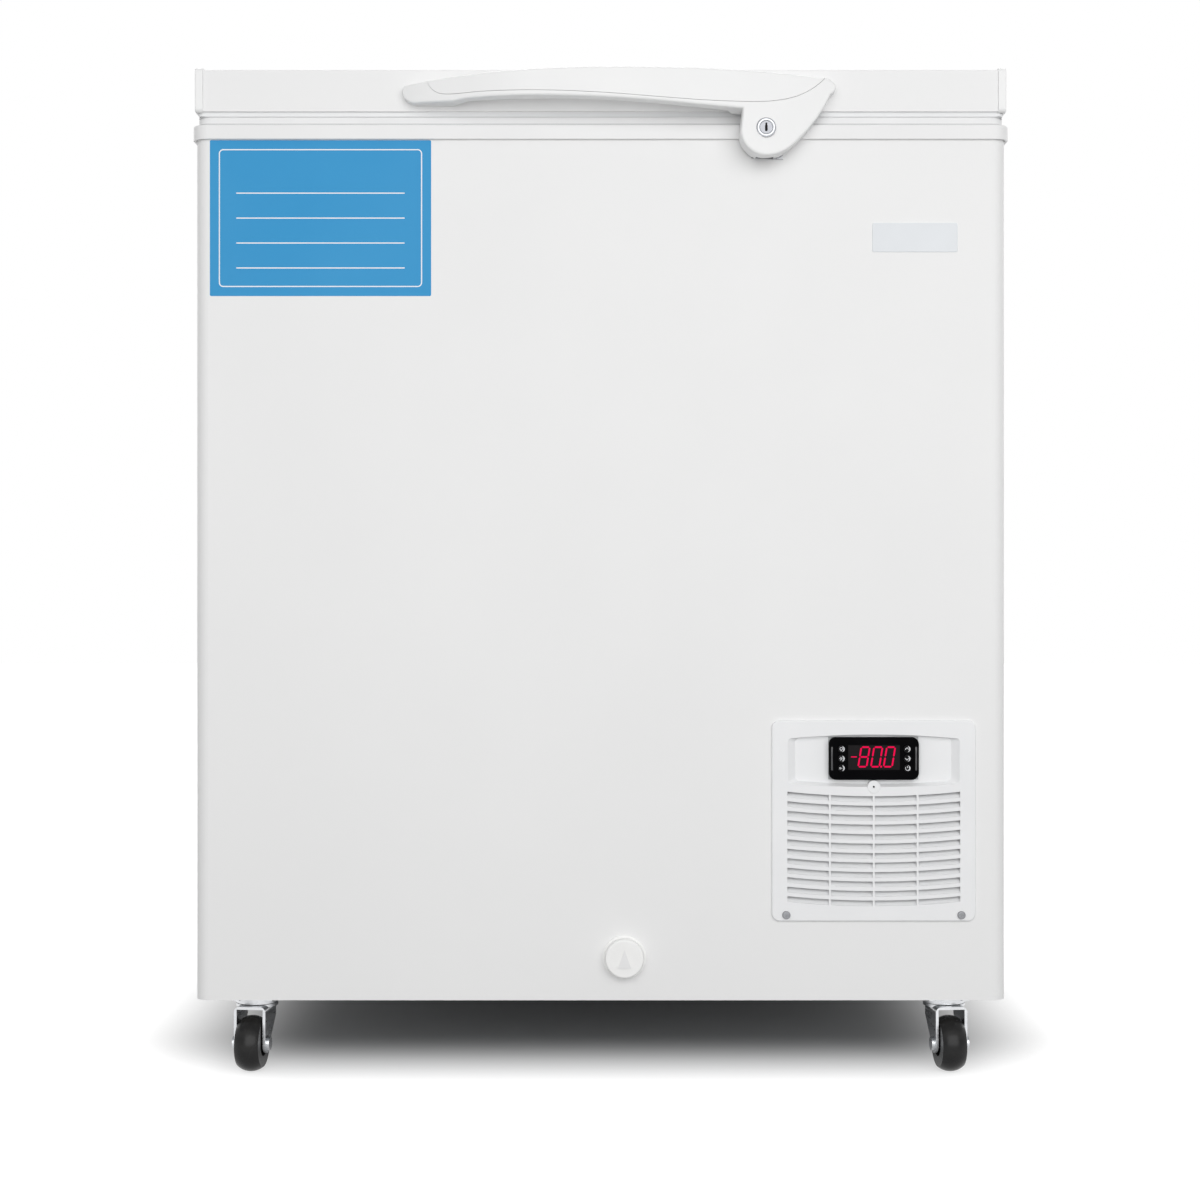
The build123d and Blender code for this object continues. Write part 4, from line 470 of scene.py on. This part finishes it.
def roundedLoop(width, height, radius, steps=6):
    # corner points of a rounded rectangle round the origin, anticlockwise
    points = []
    for turn, (sx, sz) in enumerate([(1, 1), (-1, 1), (-1, -1), (1, -1)]):
        for step in range(steps + 1):
            angle = math.radians(90 * turn + 90 * step / steps)
            points.append((sx * (width / 2 - radius) + radius * math.cos(angle),
                           sz * (height / 2 - radius) + radius * math.sin(angle)))
    return points


def circlePoints(radius, steps):
    return [(radius * math.cos(math.tau * step / steps), radius * math.sin(math.tau * step / steps))
            for step in range(steps)]


def joinRings(build, rings):
    # walls from each ring of corners to the next
    for first, second in zip(rings, rings[1:]):
        for index in range(len(first)):
            after = (index + 1) % len(first)
            build.faces.new((first[index], second[index], second[after], first[after]))


def addPlate(build, points, centre, back, thickness, edge=0.0):
    # flat plate facing the front, with a small chamfer round its face when edge is given
    cx, cz = centre
    loops = []
    for inset, y in ((0.0, back), (0.0, back - thickness + edge), (edge, back - thickness)):
        span = max(abs(point[0]) for point in points)
        shrink = (span - inset) / span if span else 1.0
        loops.append([build.verts.new((cx + x * shrink, y, cz + z * shrink)) for x, z in points])
    joinRings(build, loops)
    build.faces.new(loops[0])
    build.faces.new(list(reversed(loops[-1])))


def addRaised(build, corners, back, lift):
    # flat shape that stands proud of the face behind it
    foot, face = [[build.verts.new((x, back - depth, z)) for x, z in corners]
                  for depth in (0.0, lift)]
    joinRings(build, [face, foot])
    build.faces.new(face)
    build.faces.new(list(reversed(foot)))


sticker = {"left": -347.7, "right": -150.8, "low": 696.7, "high": 835.4, "thick": 0.2,
           "corner": 1.2, "edge": 0.08, "inkLift": 0.04,
           "frameInset": 8.0, "frameLine": 1.0, "frameCorner": 4.0,
           "bars": (0.66, 0.5, 0.34, 0.18),  # how high each bar lies, in shares of the height
           "barWidth": 150.0, "barHeight": 1.0, "barCorner": 0.49, "barCornerSteps": 3}


def buildSticker(look):
    width = (look["right"] - look["left"]) * mm
    height = (look["high"] - look["low"]) * mm
    centre = ((look["right"] + look["left"]) / 2 * mm, (look["high"] + look["low"]) / 2 * mm)
    sheet = bmesh.new()
    addPlate(sheet, roundedLoop(width, height, look["corner"] * mm), centre, frontY,
             look["thick"] * mm, look["edge"] * mm)
    finishMesh("blankSticker", sheet, "stickerBlue", "cabinet")

    face = frontY - look["thick"] * mm
    lift = look["inkLift"] * mm
    ink = bmesh.new()
    frameLoops = []
    for line in (0.0, look["frameLine"]):
        inset = 2 * (look["frameInset"] + line) * mm
        frameLoops.append(roundedLoop(width - inset, height - inset,
                                      (look["frameCorner"] - line) * mm))
    outer, inner = frameLoops
    joinRings(ink, [[ink.verts.new((centre[0] + x, face - depth, centre[1] + z)) for x, z in loop]
                    for loop, depth in ((outer, 0.0), (outer, lift), (inner, lift), (inner, 0.0))])
    bar = roundedLoop(look["barWidth"] * mm, look["barHeight"] * mm,
                      look["barHeight"] * look["barCorner"] * mm, look["barCornerSteps"])
    for share in look["bars"]:
        addPlate(ink, bar, (centre[0], look["low"] * mm + share * height), face, lift)
    finishMesh("stickerInk", ink, "stickerWhite", "cabinet")


buildSticker(sticker)

plate = {"left": 241.8, "right": 317.6, "low": 735.9, "high": 761.8, "thick": 0.8, "corner": 1.5,
         "edge": 0.3}


def buildPlate(look):
    build = bmesh.new()
    centre = ((look["right"] + look["left"]) / 2 * mm, (look["high"] + look["low"]) / 2 * mm)
    loop = roundedLoop((look["right"] - look["left"]) * mm, (look["high"] - look["low"]) * mm,
                       look["corner"] * mm)
    addPlate(build, loop, centre, frontY, look["thick"] * mm, look["edge"] * mm)
    finishMesh("barePlate", build, "plateSilver", "cabinet")


buildPlate(plate)

# lit figures of seven segments on the window, with their dot and minus sign
readout = {"height": 18.8, "width": 8.9, "pitch": 11.3, "stroke": 1.45, "gap": 0.38, "slant": 9.3,
           "firstLeft": 227.9, "bottom": 277.5, "lift": 0.03,
           "digits": ["abcdefg", "abcdef", "abcdef"],
           "dotAfter": 1, "dotGap": 0.9, "dotRise": 0.2, "dotShare": 0.55,
           # corners of the dot in shares of its half width
           "dotCorners": [(-1, 0), (0, -0.5), (1, 0), (1, 1.5), (0, 2), (-1, 1.5)],
           "minusWidth": 5.6, "minusLine": 0.6, "minusGap": 1.6, "minusPoint": 0.8}


def pointedBar(start, end, middle, point, half):
    # six corners of a bar that runs to a point at both ends
    return [(start, middle), (start + point, middle + half), (end - point, middle + half),
            (end, middle), (end - point, middle - half), (start + point, middle - half)]


def segmentShapes(look):
    half, gap = look["stroke"] / 2, look["gap"]

    def across(z, left, right):
        return pointedBar(left + gap, right - gap, z, half, half)

    def upright(x, low, high):
        return [(side, along) for along, side in pointedBar(low + gap, high - gap, x, half, half)]

    left, right, low, high = half, look["width"] - half, half, look["height"] - half
    middle = look["height"] / 2
    return {"a": across(high, left, right), "g": across(middle, left, right),
            "d": across(low, left, right),
            "f": upright(left, middle, high), "e": upright(left, low, middle),
            "b": upright(right, middle, high), "c": upright(right, low, middle)}


def buildReadout(look):
    build = bmesh.new()
    lean = math.tan(math.radians(look["slant"]))
    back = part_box("display_window")[0].y

    def addShape(points, shift):
        corners = [((look["firstLeft"] + shift + x + z * lean) * mm, (look["bottom"] + z) * mm)
                   for x, z in points]
        addRaised(build, corners, back, look["lift"] * mm)

    shapes = segmentShapes(look)
    for place, lit in enumerate(look["digits"]):
        for letter in lit:
            addShape(shapes[letter], place * look["pitch"])
    dotX = look["dotAfter"] * look["pitch"] + look["width"] + look["dotGap"]
    half = look["stroke"] * look["dotShare"]
    addShape([(dotX + x * half, look["dotRise"] + z * half) for x, z in look["dotCorners"]], 0)
    left = -look["minusWidth"] - look["minusGap"]
    addShape(pointedBar(left, left + look["minusWidth"], look["height"] / 2, look["minusLine"],
                        look["minusLine"] * look["minusPoint"]), 0)
    bmesh.ops.recalc_face_normals(build, faces=build.faces)
    finishMesh("readoutSegments", build, "litSegment", "cabinet")


buildReadout(readout)

# black keyhole plate on the turning core, whose black is painted shade standing in for the deep
# keyway, and the dark joints inside and outside the lock's ring
keyhole = {"lift": 0.04, "stagger": 0.01, "cornerSteps": 8,
           # across, up, width, height and corner of each part of the keyhole
           "shapes": [(0.0, 2.95, 1.7, 2.3, 0.84), (0.0, -0.7, 2.3, 5.8, 1.1)],
           # inner and outer radius of each joint
           "rings": {"joint": (5.55, 6.35), "sleeve": (7.5, 7.75)}, "ringSteps": 48}


def buildKeyhole(look):
    centre = (faceMiddle("lock_plug")[0], faceMiddle("lock_barrel")[1])
    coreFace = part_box("lock_plug")[0].y
    for index, (x, z, width, height, corner) in enumerate(look["shapes"]):
        build = bmesh.new()
        loop = roundedLoop(width * mm, height * mm, corner * mm, look["cornerSteps"])
        addPlate(build, loop, (centre[0] + x * mm, centre[1] + z * mm), coreFace,
                 (look["lift"] + look["stagger"] * index) * mm)
        finishMesh("keyholeShade_%d" % index, build, "holeShadeBlack", "lock_core")
    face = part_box("lock_barrel")[0].y
    for name, (inner, outer) in look["rings"].items():
        build = bmesh.new()
        rings = []
        for radius, depth in ((inner, 0.0), (inner, look["lift"]), (outer, look["lift"]),
                              (outer, 0.0)):
            rings.append([build.verts.new((centre[0] + x, face - depth * mm, centre[1] + z))
                          for x, z in circlePoints(radius * mm, look["ringSteps"])])
        joinRings(build, rings + rings[:1])
        bmesh.ops.recalc_face_normals(build, faces=build.faces)
        finishMesh("lockRing_" + name, build, "lockSteelDark", "lid")


buildKeyhole(keyhole)

# thin grey strips round the gasket, painted shade lines under the lid's flange and where the bulb
# meets the collar
gasketShadeLines = {"flange": {"from": 7.55, "to": 8.2, "inset": -0.08, "wall": 0.6, "finish": "paleShadeLineGrey"},
         "collar": {"from": 0.45, "to": 1.65, "inset": -0.05, "wall": 0.6, "finish": "shadeLineGrey"}}
shadeLineCorner = {"radius": 12.0, "steps": 10}


def buildShadeLines(look, corner):
    low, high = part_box("lid_gasket")
    centre = ((low.x + high.x) / 2, (low.y + high.y) / 2)
    for name, shadeLine in look.items():
        build = bmesh.new()
        rings = []
        outside, inside = shadeLine["inset"], shadeLine["inset"] + shadeLine["wall"]
        for inset, height in ((outside, shadeLine["from"]), (outside, shadeLine["to"]),
                              (inside, shadeLine["to"]), (inside, shadeLine["from"])):
            loop = roundedLoop(high.x - low.x - 2 * inset * mm, high.y - low.y - 2 * inset * mm,
                               (corner["radius"] - inset) * mm, corner["steps"])
            rings.append([build.verts.new((centre[0] + x, centre[1] + y, low.z + height * mm))
                          for x, y in loop])
        joinRings(build, rings + rings[:1])
        bmesh.ops.recalc_face_normals(build, faces=build.faces)
        finishMesh("gasketShadeLine_" + name, build, shadeLine["finish"], "lid")


buildShadeLines(gasketShadeLines, shadeLineCorner)

# raised rounded ribs at the two ends of the facia, their corner in shares of their width; their
# grey, lighter than the bezel, is partly a painted highlight for the reflections off the bezel's
# rounded edges
sheenRibs = {"inset": 2.6, "width": 1.6, "height": 21.0, "corner": 0.49, "thick": 0.45, "edge": 0.4}


def buildSheenRibs(look):
    low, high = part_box("controller_bezel")
    middle = (low.z + high.z) / 2
    inset = look["inset"] * mm
    for name, x in (("left", low.x + inset), ("right", high.x - inset)):
        build = bmesh.new()
        loop = roundedLoop(look["width"] * mm, look["height"] * mm,
                           look["width"] * look["corner"] * mm)
        addPlate(build, loop, (x, middle), low.y, look["thick"] * mm, look["edge"] * mm)
        finishMesh("faciaSheenRib_" + name, build, "ribGreySheen", "cabinet")


buildSheenRibs(sheenRibs)

# black disc on the boss under the facia, painted shade standing in for the inside of its pin hole
pinHole = {"rise": 30.2, "radius": 0.9, "floor": 0.6, "lift": 0.05, "steps": 24}


def buildPinHole(look):
    build = bmesh.new()
    x, z = faceMiddle("control_grille")
    addPlate(build, circlePoints(look["radius"] * mm, look["steps"]), (x, z + look["rise"] * mm),
             frontY - look["floor"] * mm, look["lift"] * mm)
    finishMesh("pinHoleShade", build, "holeShadeBlack", "cabinet")


buildPinHole(pinHole)

# faint raised arrow on the drain dial, its corners in shares of the dial's width
dialArrow = {"points": [(0.0, 0.24), (-0.17, -0.24), (0.17, -0.24)], "lift": 0.25}


def buildDialArrow(look):
    low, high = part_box("drain_dial")
    width = high.x - low.x
    centre = faceMiddle("drain_dial")
    build = bmesh.new()
    corners = [(centre[0] + x * width, centre[1] + z * width) for x, z in look["points"]]
    addRaised(build, corners, low.y, look["lift"] * mm)
    bmesh.ops.recalc_face_normals(build, faces=build.faces)
    finishMesh("dialArrow", build, "collarPlastic", "drain_knob")


buildDialArrow(dialArrow)

# small printed signs on the keys, round each key's middle: kind, across, up, size and line,
# where a ray has its angle and a chevron its direction in place of up; the crescent on each key is
# a painted highlight along its rounded right side
signs = {
    "key_light": [("ring", -0.55, 0.35, 1.45, 0.5), ("bar", -0.55, -1.5, 1.3, 0.45),
                  ("sheenCrescent", 0.0, 0.0, 2.5, 1.1)],
    "key_defrost": [("ray", -0.55, 0.0, 1.8, 0.42), ("ray", -0.55, 60.0, 1.8, 0.42),
                    ("ray", -0.55, 120.0, 1.8, 0.42), ("sheenCrescent", 0.0, 0.0, 2.5, 1.1)],
    "key_set": [("bar", -0.9, 0.0, 2.6, 0.55), ("ring", -1.5, 0.0, 0.95, 0.45),
                ("sheenCrescent", 0.0, 0.0, 2.5, 1.1)],
    "key_up": [("chevron", -0.6, 1.0, 1.7, 0.5), ("sheenCrescent", 0.0, 0.0, 2.5, 1.1)],
    "key_down": [("chevron", -0.6, -1.0, 1.7, 0.5), ("sheenCrescent", 0.0, 0.0, 2.5, 1.1)],
    "key_power": [("arc", -0.2, -0.1, 2.0, 0.5), ("bar", -0.2, 1.1, 0.5, 1.8),
                  ("sheenCrescent", 0.0, 0.0, 2.5, 0.8)],
}
strokeLook = {"lift": 0.03, "weld": 0.001, "steps": 20, "crescentRim": 0.05,
              "chevronRise": 0.45, "chevronLine": 1.6,
              # where each curved stroke starts and how far it turns, in degrees
              "turns": {"ring": (90, 360), "arc": (140, 260), "sheenCrescent": (-75, 150)}}


def curvedStroke(kind, centre, size, line, look):
    # short quads side by side along the curve
    start, turn = look["turns"][kind]

    def arcPoint(radius, angle):
        return centre[0] + radius * math.cos(angle), centre[1] + radius * math.sin(angle)

    quads = []
    for step in range(look["steps"]):
        angles = [math.radians(start + turn * part / look["steps"]) for part in (step, step + 1)]
        outer = [arcPoint(size, angle) for angle in angles]
        inner = [arcPoint(size - line, angle) for angle in angles]
        # the crescent is a painted highlight along the key's rounded right side, not print
        if kind == "sheenCrescent":
            rim = line + look["crescentRim"]
            inner = [(x - rim * math.cos(angle) ** 0.5, z) for (x, z), angle in zip(outer, angles)]
        quads.append([outer[0], outer[1], inner[1], inner[0]])
    return quads


def strokeQuads(kind, across, second, size, line, look):
    if kind in look["turns"]:
        return curvedStroke(kind, (across, second), size, line, look)
    if kind == "bar":
        left, right = across - size / 2, across + size / 2
        low, high = second - line / 2, second + line / 2
        return [[(left, low), (right, low), (right, high), (left, high)]]
    if kind == "ray":
        angle = math.radians(second)
        middle = Vector((across, 0.0))
        along = Vector((math.cos(angle), math.sin(angle))) * size
        side = Vector((-math.sin(angle), math.cos(angle))) * line / 2
        return [[tuple(middle - along - side), tuple(middle + along - side),
                 tuple(middle + along + side), tuple(middle - along + side)]]
    rise = second * size * look["chevronRise"]
    thick = second * line * look["chevronLine"]
    return [[(across, rise), (across + side * size, -rise), (across + side * size, -rise + thick),
             (across, rise + thick)] for side in (-1, 1)]


def buildSignsAndSheens(look):
    for name, strokes in signs.items():
        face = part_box(name)[0].y
        centre = faceMiddle(name)
        build = bmesh.new()
        for stroke in strokes:
            for quad in strokeQuads(*stroke, look):
                corners = [(centre[0] + x * mm, centre[1] + z * mm) for x, z in quad]
                addRaised(build, corners, face, look["lift"] * mm)
        bmesh.ops.remove_doubles(build, verts=build.verts, dist=look["weld"] * mm)
        bmesh.ops.recalc_face_normals(build, faces=build.faces)
        piece = finishMesh("signAndSheen_" + name.removeprefix("key_"), build, "signWhiteAndSheen", name + "_cap")


buildSignsAndSheens(strokeLook)
print("label, plate, readout and key signs built")


# floor, light and camera, in metres and watts, with the sensor in millimetres

white = (1, 1, 1, 1)
studio = {"floorColour": (0.42, 0.42, 0.42), "floorRoughness": 0.9, "floorSize": 16.0,
          "shadowCentre": (0.0, 0.08, 0.0), "shadowHalf": (0.255, 0.22, 1.0),
          "shadowFade": 0.26, "shadowCurve": 1.4, "worldLight": 0.46, "backdrop": 1.0}


def anySightRay(tree):
    # one where the camera, a reflection or clear glass looks, nothing for diffuse light
    path = tree.nodes.new("ShaderNodeLightPath")
    seen = path.outputs["Is Camera Ray"]
    for ray in ("Is Glossy Ray", "Is Transmission Ray"):
        seen = addMath(tree, "MAXIMUM", seen, path.outputs[ray])
    return seen


def buildFloor(look):
    build = bmesh.new()
    half = look["floorSize"] / 2
    build.faces.new([build.verts.new((x * half, y * half, 0))
                     for x, y in ((-1, -1), (1, -1), (1, 1), (-1, 1))])
    mesh = bpy.data.meshes.new("studioFloor")
    build.to_mesh(mesh)
    build.free()
    floor = bpy.data.objects.new("studioFloor", mesh)
    bpy.context.scene.collection.objects.link(floor)
    material, tree, shader = emptyMaterial("floorPaper")
    shader.inputs["Base Color"].default_value = rgba(look["floorColour"])
    shader.inputs["Roughness"].default_value = look["floorRoughness"]
    shader.inputs["Specular IOR Level"].default_value = 0.0
    # the paper turns into the white background a little way out from the cabinet's own shadow
    vector = tree.nodes.new("ShaderNodeTexCoord").outputs["Object"]
    for operation, amount in (("SUBTRACT", look["shadowCentre"]), ("ABSOLUTE", None),
                              ("SUBTRACT", look["shadowHalf"]), ("MAXIMUM", (0.0, 0.0, 0.0))):
        node = addNode(tree, "ShaderNodeVectorMath", operation=operation)
        tree.links.new(vector, node.inputs[0])
        if amount:
            node.inputs[1].default_value = amount
        vector = node.outputs["Vector"]
    distance = addNode(tree, "ShaderNodeVectorMath", operation="LENGTH")
    tree.links.new(vector, distance.inputs[0])
    spread = addSpan(tree, distance.outputs["Value"], (0.0, look["shadowFade"]))
    spread.interpolation_type = "SMOOTHSTEP"
    fade = addMath(tree, "POWER", spread.outputs["Result"], look["shadowCurve"])
    glow = addNode(tree, "ShaderNodeEmission", Color=white)
    tree.links.new(addMath(tree, "MULTIPLY", anySightRay(tree), fade), glow.inputs["Strength"])
    total = tree.nodes.new("ShaderNodeAddShader")
    output = [node for node in tree.nodes if node.type == "OUTPUT_MATERIAL"][0]
    tree.links.new(shader.outputs["BSDF"], total.inputs[0])
    tree.links.new(glow.outputs["Emission"], total.inputs[1])
    tree.links.new(total.outputs["Shader"], output.inputs["Surface"])
    mesh.materials.append(material)


def buildWorld(look):
    world = bpy.data.worlds.new("studioWorld")
    bpy.context.scene.world = world
    world.use_nodes = True
    tree = world.node_tree
    tree.nodes.clear()
    seen = addNode(tree, "ShaderNodeBackground", Color=white, Strength=look["backdrop"])
    fill = addNode(tree, "ShaderNodeBackground", Color=white, Strength=look["worldLight"])
    mix = tree.nodes.new("ShaderNodeMixShader")
    tree.links.new(anySightRay(tree), mix.inputs["Fac"])
    tree.links.new(fill.outputs["Background"], mix.inputs[1])
    tree.links.new(seen.outputs["Background"], mix.inputs[2])
    output = tree.nodes.new("ShaderNodeOutputWorld")
    tree.links.new(mix.outputs["Shader"], output.inputs["Surface"])


sideLamp = {"aim": (0.0, 0.0, 0.45), "size": (1.4, 1.8)}
lamps = {
    "frontSoftbox": dict(
        place=(0.35, -3.2, 1.3), aim=(0.05, 0.0, 0.5), size=(3.8, 2.4), power=64.0),
    "topSoftbox": dict(
        place=(0.0, 3.0, 3.8), aim=(0.0, 0.0, 0.7), size=(2.6, 2.0), power=58.0),
    "rightSoftbox": dict(place=(2.8, 1.9, 1.2), power=12.0, **sideLamp),
    "leftSoftbox": dict(place=(-2.8, 1.9, 1.2), power=10.0, **sideLamp),
}


def buildLamps():
    for name, look in lamps.items():
        data = bpy.data.lights.new(name, "AREA")
        data.shape = "RECTANGLE"
        data.size, data.size_y = look["size"]
        data.energy = look["power"]
        lamp = bpy.data.objects.new(name, data)
        bpy.context.scene.collection.objects.link(lamp)
        lamp.location = look["place"]
        direction = Vector(look["aim"]) - Vector(look["place"])
        lamp.rotation_euler = direction.to_track_quat("-Z", "Y").to_euler()


# camera level with the middle of the front, as far back as the photograph's lines ask
lens = {"distance": 1.9, "height": 0.4529, "frameWidth": 1.0679, "sensor": 36.0,
        "shiftX": -0.0005, "shiftY": -0.025, "tilt": 90}


def buildCamera(look):
    data = bpy.data.cameras.new("photoCamera")
    camera = bpy.data.objects.new("photoCamera", data)
    bpy.context.scene.collection.objects.link(camera)
    data.sensor_width = look["sensor"]
    data.lens = look["sensor"] * look["distance"] / look["frameWidth"]
    data.shift_x = look["shiftX"]
    data.shift_y = look["shiftY"]
    camera.location = (0.0, frontY - look["distance"], look["height"])
    camera.rotation_euler = (math.radians(look["tilt"]), 0, 0)
    bpy.context.scene.camera = camera


buildFloor(studio)
buildWorld(studio)
buildLamps()
buildCamera(lens)
bpy.context.scene.view_settings.view_transform = "Standard"
print("studio ready")

bpy.context.view_layer.update()
